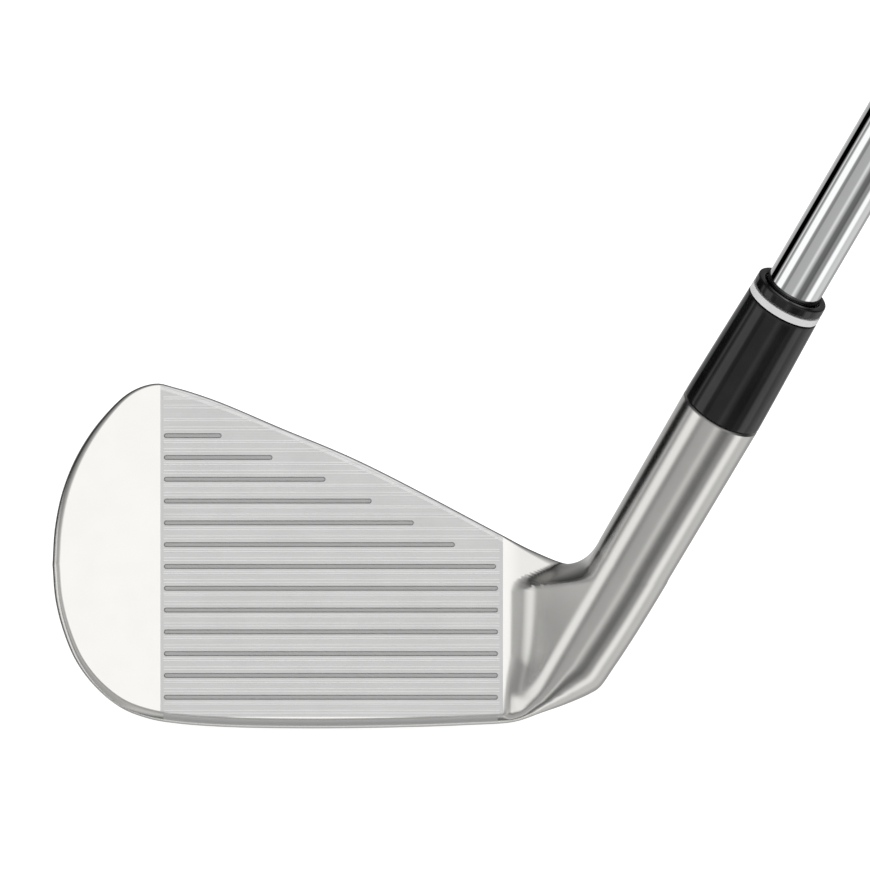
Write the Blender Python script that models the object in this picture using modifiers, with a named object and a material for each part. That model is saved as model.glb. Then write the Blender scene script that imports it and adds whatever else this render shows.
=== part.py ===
"""A right-handed iron golf club: forged head, ferrule, stepped steel shaft and rubber grip.

The club stands at address. X runs from the toe towards the heel, Y from the face backwards and
Z up. The shaft leans towards +X in the plane Y = 0. The hands' hold on the grip is the origin.
Sizes are in metres. "up" is a distance along the shaft line from the ground.
"""

import math

import bmesh
import bpy
import numpy as np
from mathutils import Matrix, Vector

MM = 0.001
GAP = 0.3 * MM  # clearance between pieces that touch

# The whole club
LOFT = math.radians(24.5)  # the face leans back from upright by this
LIE = math.radians(62.1)  # the shaft line above the ground
CLUB_LENGTH = 965 * MM  # along the shaft line, ground to the end of the grip
HOLD_FROM_END = 110 * MM  # the middle of the hands, from the end of the grip

# Blade
BLADE_LENGTH = 79.3 * MM  # toe to the shaft line
TOE_HEIGHT = 58.5 * MM  # up the face to the highest point of the toe
HEEL_HEIGHT = 34.0 * MM  # up the face to the top line, where the lines end
FACE_THICKNESS = 3.2 * MM
TOP_LINE_WIDTH = 6.0 * MM
TOE_WIDTH = 7.6 * MM
TOP_EDGE_RADIUS = 0.3 * MM
TOE_EDGE_RADIUS = 1.3 * MM
LEADING_EDGE_RADIUS = 1.7 * MM
SOLE_CAMBER_RADIUS = 40 * MM
SOLE_FRONT_TILT = math.radians(12)
SOLE_REAR_TILT = math.radians(9)
HEEL_SOLE_WIDTH = 8.5 * MM  # the sole's flat run under the hosel
BACK_EDGE_RADIUS = 1.0 * MM
TRAILING_EDGE_RADIUS = 1.8 * MM
OFFSET = 3.0 * MM  # the leading edge behind the front of the hosel

# Scoring
SCORE_HEEL = 6.2 * MM  # from the shaft line's foot to the end of the longest lines
SCORE_TOE = 61.0 * MM
SCORE_MARGIN = 5.0 * MM  # between a line's end and the top line
GROOVE_COUNT = 13
GROOVE_PITCH = 3.573 * MM
GROOVE_FIRST = 3.5 * MM  # above the lower edge of the flat
GROOVE_WIDTH = 0.82 * MM
GROOVE_DEPTH = 0.45 * MM
GROOVE_WALL_ANGLE = math.radians(22)

# Hosel
HOSEL_TOP = 64.5 * MM
HOSEL_WALL = 1.18 * MM  # round the bore, at the top
HOSEL_WAIST = 0.3 * MM  # the neck is thinner than the top by this
HOSEL_NECK = 27.0 * MM
CROTCH = 25.9 * MM  # the lowest point of the notch between blade and hosel, seen square on
BORE_DEPTH = 27 * MM
CHAMFER = 0.3 * MM
ROUND_FROM = 6.0 * MM  # above the notch, seen square on, the hosel is fully round
HEEL_HOLLOW = 3.3 * MM  # the slope off the hosel meets the face this far past its flat
HEEL_SLOPE_LOW = math.radians(30)
HEEL_SLOPE_MOST = math.radians(50)
HEEL_SLOPE_TOP = math.radians(89.5)  # the slope at the notch
HEEL_STEEPER_BELOW = 2.0 * MM  # the slope starts to steepen this far below the notch
HEEL_STEEPER_LEAN = math.radians(4)
HEEL_FILLET = 3.0 * MM
HEEL_RISE = 1.8 * MM
HEEL_ROLL_OVER = 15 * MM  # along the outline, the leading edge's radius grows into the hosel's

# Back of the head
CAVITY_FRAME = 6.0 * MM
CAVITY_CORNER = 4.0 * MM
CAVITY_LOWER = 15.5 * MM  # up the face to the lower wall of the pocket, at the heel
CAVITY_LOWER_TOE = 23.5 * MM
CAVITY_HEEL = 15.0 * MM
BADGE_THICKNESS = 0.9 * MM
TAPE_THICKNESS = 0.5 * MM
BADGE_MARGIN = 2.2 * MM
BADGE_SHARE = 0.62  # of the pocket's height that the badge fills
WEIGHT_RADIUS = 3.6 * MM
WEIGHT_LENGTH = 5.0 * MM
WEIGHT_TOE = 63.0 * MM
WEIGHT_HEIGHT = 16.8 * MM
WEIGHT_FLOOR = 5.5 * MM

# Ferrule, from the top of the hosel
FERRULE_BODY = 21.2 * MM
FERRULE_RING = 1.5 * MM
FERRULE_COLLAR = 1.9 * MM
FERRULE_END_WALL = 1.15 * MM
FERRULE_EDGE = 0.35 * MM

# Shaft
SHAFT_TIP_RADIUS = 4.7 * MM
SHAFT_BUTT_RADIUS = 7.6 * MM
SHAFT_WALL = 0.5 * MM
SHAFT_TIP = 300 * MM  # the plain stretch above the tip
SHAFT_STEPS = 11
SHAFT_STEP_PITCH = 31 * MM
BOND_THICKNESS = 0.3 * MM
PLUG_LENGTH = 16 * MM
PLUG_FLANGE = 1.2 * MM
BAND_LENGTH = 48 * MM
BAND_FROM_GRIP = 30 * MM
BAND_THICKNESS = 0.25 * MM

# Grip
GRIP_LENGTH = 268 * MM
GRIP_MOUTH_WALL = 1.1 * MM
GRIP_BUTT_WALL = 4.9 * MM
GRIP_LIP = 1.0 * MM
TAPE_MARGIN = 9 * MM
GRIP_TAPE_THICKNESS = 0.3 * MM
CAP_LENGTH = 5.5 * MM
CAP_LIP = 0.8 * MM  # the cap is wider than the grip by this
VENT_RADIUS = 1.5 * MM

# Fineness of the surfaces
TURNS = 48
FRONT_STEPS = 14
EDGE_STEPS = 4
WALL_STEPS = 3
REAR_EDGE_STEPS = 2
BACK_STEPS = 12
TOE_STATIONS = 12
BLADE_STATIONS = 9
HEEL_STATIONS = 18
HOSEL_STATIONS = 2
OUTLINE_STEPS = 12
SLOT_END_STEPS = 5
POCKET_STEPS = 14

# Where the parts of the blade's section come out
LEAD_CENTRE_HEIGHT = LEADING_EDGE_RADIUS * math.cos(SOLE_FRONT_TILT) + SOLE_CAMBER_RADIUS * (
    1 - math.cos(SOLE_FRONT_TILT)
)
FLAT_LOW = (LEAD_CENTRE_HEIGHT + LEADING_EDGE_RADIUS * math.sin(LOFT)) / math.cos(LOFT)
EDGE_LOW = FLAT_LOW - LEADING_EDGE_RADIUS
LEADING_EDGE_Y = (
    FLAT_LOW * math.sin(LOFT) + LEADING_EDGE_RADIUS * math.cos(LOFT) - LEADING_EDGE_RADIUS
)
HOSEL_TOP_RADIUS = SHAFT_TIP_RADIUS + BOND_THICKNESS + 2 * GAP + HOSEL_WALL
HOSEL_NECK_RADIUS = HOSEL_TOP_RADIUS - HOSEL_WAIST
FERRULE_END_RADIUS = SHAFT_TIP_RADIUS + GAP + FERRULE_END_WALL
GRIP_BORE_RADIUS = SHAFT_BUTT_RADIUS + GRIP_TAPE_THICKNESS + 2 * GAP
GRIP_MOUTH_RADIUS = GRIP_BORE_RADIUS + GRIP_MOUTH_WALL
GRIP_BUTT_RADIUS = GRIP_BORE_RADIUS + GRIP_BUTT_WALL
CAP_RADIUS = GRIP_BUTT_RADIUS + CAP_LIP
FLAT_END = -SCORE_HEEL + 0.8 * MM
HEEL_STEEPER_OVER = HEEL_STEEPER_BELOW + 0.6 * ROUND_FROM
FACE_TO_SHAFT = LEADING_EDGE_Y + HOSEL_TOP_RADIUS - OFFSET  # along the ground
SHAFT_START = HOSEL_TOP - BORE_DEPTH + PLUG_FLANGE + 2 * GAP
SHAFT_END = CLUB_LENGTH - CAP_LENGTH
GRIP_START = CLUB_LENGTH - GRIP_LENGTH
FERRULE_LENGTH = FERRULE_BODY + FERRULE_RING + FERRULE_COLLAR

# Directions as seen square to the face: across, up the face and out of it
SHAFT_LINE = np.array([math.cos(LIE), math.sin(LIE) * math.cos(LOFT), math.sin(LIE) * math.sin(LOFT)])
SEEN_LINE = SHAFT_LINE[:2] / np.linalg.norm(SHAFT_LINE[:2])
SEEN_RIGHT = np.array([SEEN_LINE[1], -SEEN_LINE[0]])
FORESHORTENING = float(np.linalg.norm(SHAFT_LINE[:2]))
SHAFT_FOOT = np.array([0.0, FACE_TO_SHAFT * math.sin(LOFT), -FACE_TO_SHAFT * math.cos(LOFT)])


# ---------------------------------------------------------------- scene and materials


def clear_scene():
    for found in list(bpy.data.objects):
        bpy.data.objects.remove(found, do_unlink=True)


def new_collection(name, cutters=False):
    made = bpy.data.collections.new(name)
    made.hide_render = cutters
    bpy.context.scene.collection.children.link(made)
    return made


def new_material(name, colour, roughness, metallic):
    made = bpy.data.materials.new(name)
    made.use_nodes = True
    made.diffuse_color = (*colour, 1.0)
    shader = made.node_tree.nodes["Principled BSDF"]
    shader.inputs["Base Color"].default_value = (*colour, 1.0)
    shader.inputs["Roughness"].default_value = roughness
    shader.inputs["Metallic"].default_value = metallic
    return made


def add_object(name, mesh, collection, parent, material=None):
    made = bpy.data.objects.new(name, mesh)
    collection.objects.link(made)
    made.parent = parent
    if material:
        mesh.materials.append(material)
    return made


def add_cutter(name, mesh, collection, parent):
    made = add_object(name, mesh, collection, parent)
    made.hide_render = True
    made.display_type = "WIRE"
    return made


def cut(target, cutter):
    modifier = target.modifiers.new(f"cut {cutter.name}", "BOOLEAN")
    modifier.operation = "DIFFERENCE"
    modifier.solver = "EXACT"
    modifier.object = cutter


def mesh_from(name, build, smooth_angle=None):
    """A mesh made by a function that fills a bmesh."""
    made = bpy.data.meshes.new(name)
    work = bmesh.new()
    build(work)
    bmesh.ops.recalc_face_normals(work, faces=work.faces)
    work.to_mesh(made)
    work.free()
    if smooth_angle:
        made.shade_smooth()
        made.set_sharp_from_angle(angle=smooth_angle)
    return made


def turned(name, profile, up, collection, parent, material=None, turns=TURNS):
    """A profile of (radius, height) turned about the shaft line, which runs down its outer side."""
    made = bpy.data.meshes.new(name)
    work = bmesh.new()
    points = [work.verts.new((radius, 0.0, height)) for radius, height in profile]
    for first, second in zip(points, points[1:]):
        work.edges.new((first, second))
    if profile[0][0] > 0:
        work.edges.new((points[-1], points[0]))
    work.to_mesh(made)
    work.free()
    made.shade_smooth()
    place = add_object(name, made, collection, parent, material)
    place.location = (0.0, 0.0, up)
    screw = place.modifiers.new("turn", "SCREW")
    screw.steps = turns
    screw.render_steps = turns
    screw.use_merge_vertices = True
    screw.merge_threshold = 0.00001
    screw.use_smooth_shade = True
    return place


# ---------------------------------------------------------------- outline of the head


def face_point(across, height, depth):
    """A point given across and up the face plane, and its depth behind that plane."""
    return Vector(
        (
            across,
            height * math.sin(LOFT) + depth * math.cos(LOFT) - FACE_TO_SHAFT,
            height * math.cos(LOFT) - depth * math.sin(LOFT),
        )
    )


def beside_shaft(up, right):
    """(across, height) of a point seen square to the face, beside the shaft line."""
    return SHAFT_FOOT[:2] + up * SEEN_LINE + right * SEEN_RIGHT


def hosel_radius(up):
    share = (up - HOSEL_NECK) / (HOSEL_TOP - HOSEL_NECK)
    return HOSEL_NECK_RADIUS + (HOSEL_TOP_RADIUS - HOSEL_NECK_RADIUS) * share


def smooth_through(points):
    """A dense centripetal Catmull-Rom curve through the points."""
    p = np.array(points)
    p = np.vstack([2 * p[0] - p[1], p, 2 * p[-1] - p[-2]])
    knots = np.concatenate([[0], np.cumsum(np.linalg.norm(np.diff(p, axis=0), axis=1) ** 0.5)])
    pieces = []
    for i in range(1, len(p) - 2):
        k0, k1, k2, k3 = knots[i - 1 : i + 3]
        t = np.linspace(k1, k2, OUTLINE_STEPS, endpoint=False)[:, None]
        a1 = (k1 - t) / (k1 - k0) * p[i - 1] + (t - k0) / (k1 - k0) * p[i]
        a2 = (k2 - t) / (k2 - k1) * p[i] + (t - k1) / (k2 - k1) * p[i + 1]
        a3 = (k3 - t) / (k3 - k2) * p[i + 1] + (t - k2) / (k3 - k2) * p[i + 2]
        b1 = (k2 - t) / (k2 - k0) * a1 + (t - k0) / (k2 - k0) * a2
        b2 = (k3 - t) / (k3 - k1) * a2 + (t - k1) / (k3 - k1) * a3
        pieces.append((k2 - t) / (k2 - k1) * b1 + (t - k1) / (k2 - k1) * b2)
    return np.vstack([*pieces, p[-2:-1]])


class Branch:
    """One side of the outline, from the tip of the toe to the hosel."""

    def __init__(self, points, inward_turn):
        self.points = smooth_through(points)
        steps = np.diff(self.points, axis=0)
        self.length = np.concatenate([[0], np.cumsum(np.linalg.norm(steps, axis=1))])
        along = np.gradient(self.points, self.length, axis=0)
        along[0] = (0.0, inward_turn)
        self.inward = np.column_stack([along[:, 1], -along[:, 0]]) * inward_turn

    def at(self, distance):
        """(point, inward direction) at a distance along the branch."""
        point = [np.interp(distance, self.length, self.points[:, i]) for i in (0, 1)]
        inward = np.array([np.interp(distance, self.length, self.inward[:, i]) for i in (0, 1)])
        return np.array(point), inward / np.linalg.norm(inward)

    def distance_at(self, across):
        return float(np.interp(across, self.points[:, 0], self.length))

    def height_at(self, across):
        return float(np.interp(across, self.points[:, 0], self.points[:, 1]))


def toe_point(length_share, height_share):
    return (-BLADE_LENGTH * length_share, TOE_HEIGHT * height_share)


def sole_point(length_share, rise_share):
    return (-BLADE_LENGTH * length_share, EDGE_LOW + (TOE_HEIGHT - EDGE_LOW) * rise_share)


def upper_branch():
    """Up the toe, along the top line, round the notch and up the left of the hosel."""
    neck = HOSEL_NECK_RADIUS
    toe = [(1, 0.492), (0.995, 0.595), (0.979, 0.699), (0.948, 0.801), (0.901, 0.896), (0.839, 0.976)]
    top = [(0.785, 1.0), (0.749, 0.990), (0.667, 0.955), (0.528, 0.876), (0.364, 0.782)]
    notch = [(-1.2, 9.2), (-0.45, 3.55), (0, 2.35), (1.4, 1.0), (3.3, 0.2), (6.0, 0)]
    points = [toe_point(*share) for share in toe + top]
    points.append((-SCORE_HEEL, HEEL_HEIGHT))
    points += [beside_shaft(CROTCH + rise * MM, -neck - out * MM) for rise, out in notch]
    points.append(beside_shaft(HOSEL_TOP * FORESHORTENING, -HOSEL_TOP_RADIUS))
    return Branch(points, 1)


def lower_branch():
    """Down the toe, along the sole, round the heel and up the right of the hosel."""
    neck = HOSEL_NECK_RADIUS
    toe = [(0.994, 0.376), (0.977, 0.281), (0.950, 0.193), (0.909, 0.118), (0.858, 0.061), (0.799, 0.029)]
    sole = [(0.739, 0.0152), (0.637, 0.0052), (0.467, 0.0012), (0.276, 0.0045), (0.141, 0.0110)]
    heel = [(2.6, 6.85), (6.0, 3.95), (9.3, 1.55), (10.9, 0.75), (14.6, 0.4), (22.8, 0.0)]
    points = [(-BLADE_LENGTH, TOE_HEIGHT * 0.492)]
    points += [sole_point(*share) for share in toe + sole]
    points.append((-3.6 * MM, EDGE_LOW + 1.15 * MM))
    points += [beside_shaft(up * MM, neck - short * MM) for up, short in heel]
    points.append(beside_shaft(HOSEL_TOP * FORESHORTENING, HOSEL_TOP_RADIUS))
    return Branch(points, -1)


# ---------------------------------------------------------------- loft of the head


def ease(share):
    """0 to 1 with a soft start and end, for a number or an array."""
    share = np.clip(share, 0.0, 1.0)
    return share * share * (3 - 2 * share)


def mixed(first, second, share):
    return {key: first[key] + (second[key] - first[key]) * share for key in first}


TOE_WALL = {
    "front": TOE_EDGE_RADIUS,
    "slope": math.radians(3),
    "end_slope": math.radians(9),
    "run": TOE_WIDTH - TOE_EDGE_RADIUS - BACK_EDGE_RADIUS,
    "rear": BACK_EDGE_RADIUS,
    "turn": math.radians(92),
}
TOP_WALL = {
    "front": TOP_EDGE_RADIUS,
    "slope": 0.0,
    "end_slope": math.radians(2),
    "run": TOP_LINE_WIDTH - TOP_EDGE_RADIUS - BACK_EDGE_RADIUS,
    "rear": BACK_EDGE_RADIUS,
    "turn": math.radians(90),
}
SOLE_WALL = {
    "front": LEADING_EDGE_RADIUS,
    "slope": LOFT - SOLE_FRONT_TILT,
    "end_slope": LOFT + SOLE_REAR_TILT,
    "run": SOLE_CAMBER_RADIUS * (SOLE_FRONT_TILT + SOLE_REAR_TILT),
    "rear": TRAILING_EDGE_RADIUS,
    "turn": math.radians(130),
}
HEEL_WALL = {
    "front": LEADING_EDGE_RADIUS,
    "slope": math.radians(8),
    "end_slope": math.radians(26),
    "run": HEEL_SOLE_WIDTH,
    "rear": TRAILING_EDGE_RADIUS,
    "turn": math.radians(110),
}


def wall_profile(wall):
    """(inset, depth) from the edge of the flat round the outer wall to the start of the back."""
    front, rear = wall["front"], wall["rear"]
    points = []
    for i in range(EDGE_STEPS + 1):
        angle = (math.pi / 2 + wall["slope"]) * i / EDGE_STEPS
        points.append((front * (1 - math.sin(angle)), front * (1 - math.cos(angle))))
    bend = max(wall["end_slope"] - wall["slope"], 1e-6)
    radius = wall["run"] / bend
    start = points[-1]
    for i in range(1, WALL_STEPS + 1):
        slope = wall["slope"] + bend * i / WALL_STEPS
        inset = start[0] + radius * (math.cos(wall["slope"]) - math.cos(slope))
        points.append((inset, start[1] + radius * (math.sin(slope) - math.sin(wall["slope"]))))
    start = points[-1]
    for i in range(1, REAR_EDGE_STEPS + 1):
        slope = wall["end_slope"] + (wall["turn"] - wall["end_slope"]) * i / REAR_EDGE_STEPS
        inset = start[0] + rear * (math.cos(wall["end_slope"]) - math.cos(slope))
        points.append((inset, start[1] + rear * (math.sin(slope) - math.sin(wall["end_slope"]))))
    return points


def placed_profile(point, inward, wall):
    """The wall's profile as points (across, height, out of the face), and its last direction."""
    points = [np.append(point + inward * inset, -depth) for inset, depth in wall_profile(wall)]
    leaving = np.append(inward * math.sin(wall["turn"]), -math.cos(wall["turn"]))
    return points, leaving


def between(first, second, steps):
    return [first + (second - first) * i / steps for i in range(1, steps)]


def bent(first, first_way, second, second_way, steps):
    """Points of a Bezier curve that leaves both its ends in the directions given."""
    low_pull, high_pull = 0.36, 0.46
    reach = np.linalg.norm(second - first)
    low_handle = first + first_way * reach * low_pull
    high_handle = second + second_way * reach * high_pull
    handles = (first, low_handle, high_handle, second)
    points = []
    for i in range(1, steps):
        t = i / steps
        weights = ((1 - t) ** 3, 3 * t * (1 - t) ** 2, 3 * t * t * (1 - t), t**3)
        points.append(sum(w * h for w, h in zip(weights, handles)))
    return points


def blade_loop(top, top_inward, low, low_inward, top_wall, low_wall):
    """A section of the blade: across the face, round the sole, up the back and over the top."""
    upper, upper_way = placed_profile(top, top_inward, top_wall)
    lower, lower_way = placed_profile(low, low_inward, low_wall)
    face = between(upper[0], lower[0], FRONT_STEPS)
    back = bent(lower[-1], lower_way, upper[-1], upper_way, BACK_STEPS)
    return np.array([upper[0], *face, *lower, *back, *reversed(upper[1:])])


def loop_angles():
    """The angle round the hosel of each point of a section, from the front towards the sole side."""
    wall = EDGE_STEPS + WALL_STEPS + REAR_EDGE_STEPS
    count = FRONT_STEPS + BACK_STEPS + 2 * wall
    first = -math.pi * FRONT_STEPS / count
    return [first + 2 * math.pi * i / count for i in range(count)]


def round_loop(centre, side, front, side_radius, front_radius):
    """A section of the hosel: an ellipse with one half-width along side and one along front."""
    return np.array(
        [
            centre + side * side_radius * math.sin(angle) + front * front_radius * math.cos(angle)
            for angle in loop_angles()
        ]
    )


def shaft_point(up):
    return SHAFT_FOOT + SHAFT_LINE * up


HOSEL_FRONT = np.array([0.0, 0.0, 1.0]) - SHAFT_LINE * SHAFT_LINE[2]
HOSEL_FRONT = HOSEL_FRONT / np.linalg.norm(HOSEL_FRONT)


def hosel_loop(up, inset=0.0):
    radius = hosel_radius(up) - inset
    return round_loop(shaft_point(up), np.append(SEEN_RIGHT, 0.0), HOSEL_FRONT, radius, radius)


def heel_loop(top, low, share):
    """The round section that a station of the heel turns into."""
    chord = low - top
    width = np.linalg.norm(chord)
    middle = (top + low) / 2
    up = (middle[1] - SHAFT_FOOT[1]) / SHAFT_LINE[1]
    front = np.array([0.0, 0.0, 1.0]) * (1 - share) + HOSEL_FRONT * share
    front = front / np.linalg.norm(front)
    centre = np.append(middle, shaft_point(up)[2])
    depth_radius = hosel_radius(up)
    return round_loop(centre, np.append(chord / width, 0.0), front, width / 2, depth_radius)


def slope_start(spots, along, line):
    """The angle round the hosel where its front runs on as a slope to the end of the flat."""
    radius = hosel_radius(np.maximum(along / FORESHORTENING, 0.0))
    reach = (along * SEEN_LINE[0] - FLAT_END - HEEL_HOLLOW) / SEEN_RIGHT[0]
    depth = line * FORESHORTENING
    span = np.maximum(np.hypot(reach, depth), radius)
    gentle = np.arctan2(depth, reach) + np.arcsin(radius / span)
    gentle = np.clip(gentle, HEEL_SLOPE_LOW, HEEL_SLOPE_MOST)
    past_notch = spots - beside_shaft(CROTCH, -HOSEL_NECK_RADIUS)
    above = past_notch @ (-math.sin(HEEL_STEEPER_LEAN), math.cos(HEEL_STEEPER_LEAN))
    steeper = ease((above + HEEL_STEEPER_BELOW) / HEEL_STEEPER_OVER)
    return gentle + (HEEL_SLOPE_TOP - gentle) * steeper


def hosel_swell(along, right, corner):
    """The hosel's front above its line: a round that runs on as a slope past the corner angle."""
    radius = hosel_radius(np.maximum(along / FORESHORTENING, 0.0))
    inside = np.clip(right, -radius * np.sin(corner), 0.0)
    past = np.maximum(-right - radius * np.sin(corner), 0.0)
    return (np.sqrt(radius**2 - inside**2) - past * np.tan(corner)) / FORESHORTENING


def heel_front(spots, lower):
    """How far the front of the heel stands out of the face plane at points (across, height)."""
    from_foot = spots - SHAFT_FOOT[:2]
    along, right = from_foot @ SEEN_LINE, from_foot @ SEEN_RIGHT
    line = SHAFT_FOOT[2] + SHAFT_LINE[2] / FORESHORTENING * along
    full = hosel_radius(np.maximum(along / FORESHORTENING, 0.0))
    right = np.where(right < 0, right * max(1.0, -full[0] / right[0]), right)
    corner = slope_start(spots, along, line)
    ridge = line + hosel_swell(along, right, corner)
    reach = HEEL_FILLET * np.clip(np.tan(corner), 0.1, 2.4)
    swell = np.maximum(ridge, 0.0) + np.maximum(reach - np.abs(ridge), 0.0) ** 2 / (4 * reach)
    swell = swell * ease((spots[:, 0] - FLAT_END) / HEEL_RISE)

    gaps = np.linalg.norm(lower.points[None] - spots[:, None], axis=2)
    nearest = np.argmin(gaps, axis=1)
    inset = np.sum((spots - lower.points[nearest]) * lower.inward[nearest], axis=1)
    climb = ease((lower.length[nearest] - lower.distance_at(FLAT_END) - 2.5 * MM) / HEEL_ROLL_OVER)
    roll = LEADING_EDGE_RADIUS + (full - LEADING_EDGE_RADIUS) * climb
    inset = np.clip(inset, 0.0, roll)
    stretch = 1 + (1 / FORESHORTENING - 1) * climb
    return swell - (roll - np.sqrt(2 * roll * inset - inset**2)) * stretch


def heel_section(top, top_inward, low, low_inward, share, lower):
    """A section of the heel, between the end of the flat and the round of the hosel."""
    top_wall = mixed(TOP_WALL, HEEL_WALL, 0.6 * share)
    flat = blade_loop(top, top_inward, low, low_inward, top_wall, HEEL_WALL)
    section = flat + (heel_loop(top, low, ease(share)) - flat) * ease(share)
    count, low_end, top_end = len(section), FRONT_STEPS + EDGE_STEPS, EDGE_STEPS
    front = np.arange(-top_end, low_end + 1)
    edge = np.zeros(len(front))
    edge[:top_end] = flat[front[:top_end], 2] * (1 - share)
    shift = heel_front(section[front, :2], lower) + edge - section[front, 2]
    section[front, 2] += shift
    rest = np.arange(low_end + 1, count - top_end)
    blend = (rest - low_end) / (count - top_end - low_end)
    section[rest, 2] += shift[-1] + (shift[0] - shift[-1]) * blend
    return section


def head_sections(upper, lower):
    """(sections from the toe to the top of the hosel, how many of them lie on the flat)."""
    sections = []
    tip, toe_end, flat_end = -BLADE_LENGTH, -BLADE_LENGTH * 0.72, FLAT_END
    quarter = [math.pi / 2 * i / TOE_STATIONS for i in range(TOE_STATIONS)]
    turned_in = [tip + (toe_end - tip) * (1 - math.cos(angle)) for angle in quarter]
    straight = list(np.linspace(toe_end, flat_end, BLADE_STATIONS + 1))
    for across in turned_in + straight:
        top, top_inward = upper.at(upper.distance_at(across))
        low, low_inward = lower.at(lower.distance_at(across))
        grown = ease((across - tip) / (BLADE_LENGTH * 0.25))
        heelward = ease((across + BLADE_LENGTH * 0.55) / (flat_end + BLADE_LENGTH * 0.55))
        low_wall = mixed(mixed(TOE_WALL, SOLE_WALL, grown), HEEL_WALL, heelward)
        sections.append(
            blade_loop(top, top_inward, low, low_inward, mixed(TOE_WALL, TOP_WALL, grown), low_wall)
        )
    flat_sections = len(sections)
    neck_up = (CROTCH + ROUND_FROM) / FORESHORTENING
    upper_start, lower_start = upper.distance_at(flat_end), lower.distance_at(flat_end)
    side = hosel_radius(neck_up)
    upper_end = upper.distance_at(beside_shaft(neck_up * FORESHORTENING, -side)[0])
    lower_end = lower.distance_at(beside_shaft(neck_up * FORESHORTENING, side)[0])
    for i in range(1, HEEL_STATIONS):
        share = i / HEEL_STATIONS
        top, top_inward = upper.at(upper_start + (upper_end - upper_start) * share)
        low, low_inward = lower.at(lower_start + (lower_end - lower_start) * share)
        upward = (top - low) / np.linalg.norm(top - low)
        low_inward = low_inward + (upward - low_inward) * ease(share * 3)
        low_inward = low_inward / np.linalg.norm(low_inward)
        sections.append(heel_section(top, top_inward, low, low_inward, share, lower))
    for up in np.linspace(neck_up, HOSEL_TOP - CHAMFER, HOSEL_STATIONS + 1):
        sections.append(hosel_loop(up))
    sections.append(hosel_loop(HOSEL_TOP, inset=CHAMFER))
    return sections, flat_sections


def loft_head(work, upper, lower):
    """Skins the sections, closes the hosel's end and makes the flat of the face one polygon."""
    sections, flat_sections = head_sections(upper, lower)
    rings = []
    for section in sections:
        rings.append([work.verts.new(face_point(x, y, -out)) for x, y, out in section])
    flat = []
    count = len(rings[0])
    for ring, (first, second) in enumerate(zip(rings, rings[1:])):
        for i in range(count):
            j = (i + 1) % count
            face = work.faces.new((first[i], first[j], second[j], second[i]))
            if ring < flat_sections - 1 and i < FRONT_STEPS:
                flat.append(face)
    work.faces.new(rings[-1])
    bmesh.ops.dissolve_faces(work, faces=flat, use_verts=True)
    bmesh.ops.remove_doubles(work, verts=work.verts, dist=0.00002)
    bmesh.ops.dissolve_degenerate(work, edges=work.edges, dist=0.00002)


# ---------------------------------------------------------------- cutters of the head


def groove_ends(index, upper):
    """(toe end, heel end, height up the face) of one scoring line."""
    height = FLAT_LOW + GROOVE_FIRST + index * GROOVE_PITCH
    top = (upper.points[:, 0] > -SCORE_TOE) & (upper.points[:, 0] < -SCORE_HEEL + SCORE_MARGIN)
    limit = upper.points[top] + upper.inward[top] * SCORE_MARGIN
    under = float(np.interp(-height, -limit[:, 1], limit[:, 0]))
    return -SCORE_TOE, min(-SCORE_HEEL, under), height


def slot_ring(work, toe_end, heel_end, height, radius, depth):
    """The corners of a slot's round-ended outline at one depth."""
    ring = []
    for i in range(2 * SLOT_END_STEPS + 2):
        end, side = (heel_end, 0) if i <= SLOT_END_STEPS else (toe_end, 1)
        angle = math.pi * (i - side) / SLOT_END_STEPS - math.pi / 2
        across = end + radius * math.cos(angle)
        ring.append(work.verts.new(face_point(across, height + radius * math.sin(angle), depth)))
    return ring


def join_rings(work, near_ring, far_ring):
    """A closed solid between two rings of the same count."""
    work.faces.new(near_ring)
    work.faces.new(reversed(far_ring))
    for i, near in enumerate(near_ring):
        j = (i + 1) % len(near_ring)
        work.faces.new((near_ring[j], near, far_ring[i], far_ring[j]))


def fill_grooves(work, upper):
    """Every scoring line as a slot with round ends that narrows as it goes in."""
    outside = 0.3 * MM
    half = GROOVE_WIDTH / 2
    lean = math.tan(GROOVE_WALL_ANGLE)
    for index in range(GROOVE_COUNT):
        toe_end, heel_end, height = groove_ends(index, upper)
        ends = (toe_end + half, heel_end - half, height)
        wide = slot_ring(work, *ends, half + outside * lean, -outside)
        join_rings(work, wide, slot_ring(work, *ends, half - GROOVE_DEPTH * lean, GROOVE_DEPTH))


def pocket_outline(upper, inset, share=1.0):
    """The pocket in the back: along its upper side from the toe, then its two lower corners."""
    margin = CAVITY_FRAME + inset
    low_toe, low_heel = CAVITY_LOWER_TOE + inset, CAVITY_LOWER + inset
    toe, heel = -BLADE_LENGTH + margin, -CAVITY_HEEL - inset
    first = upper.distance_at(-BLADE_LENGTH + 0.6 * MM)
    last = upper.distance_at(heel)
    outline = []
    for distance in np.linspace(first, last, POCKET_STEPS + 1):
        edge, inward = upper.at(distance)
        x, y = edge + inward * margin
        if np.min(np.linalg.norm(upper.points - (x, y), axis=1)) < margin * 0.97:
            continue  # inside the curve of the toe, where the offset would fold over
        base = low_toe + (low_heel - low_toe) * (x - toe) / (heel - toe)
        outline.append((x, base + (y - base) * share))
    return [*outline, (outline[-1][0], low_heel), (outline[0][0], low_toe)]


def turn_at(outline, index):
    """How sharply an outline turns at one of its corners."""
    before = Vector(outline[index]) - Vector(outline[index - 1])
    after = Vector(outline[(index + 1) % len(outline)]) - Vector(outline[index])
    return before.angle(after)


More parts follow.
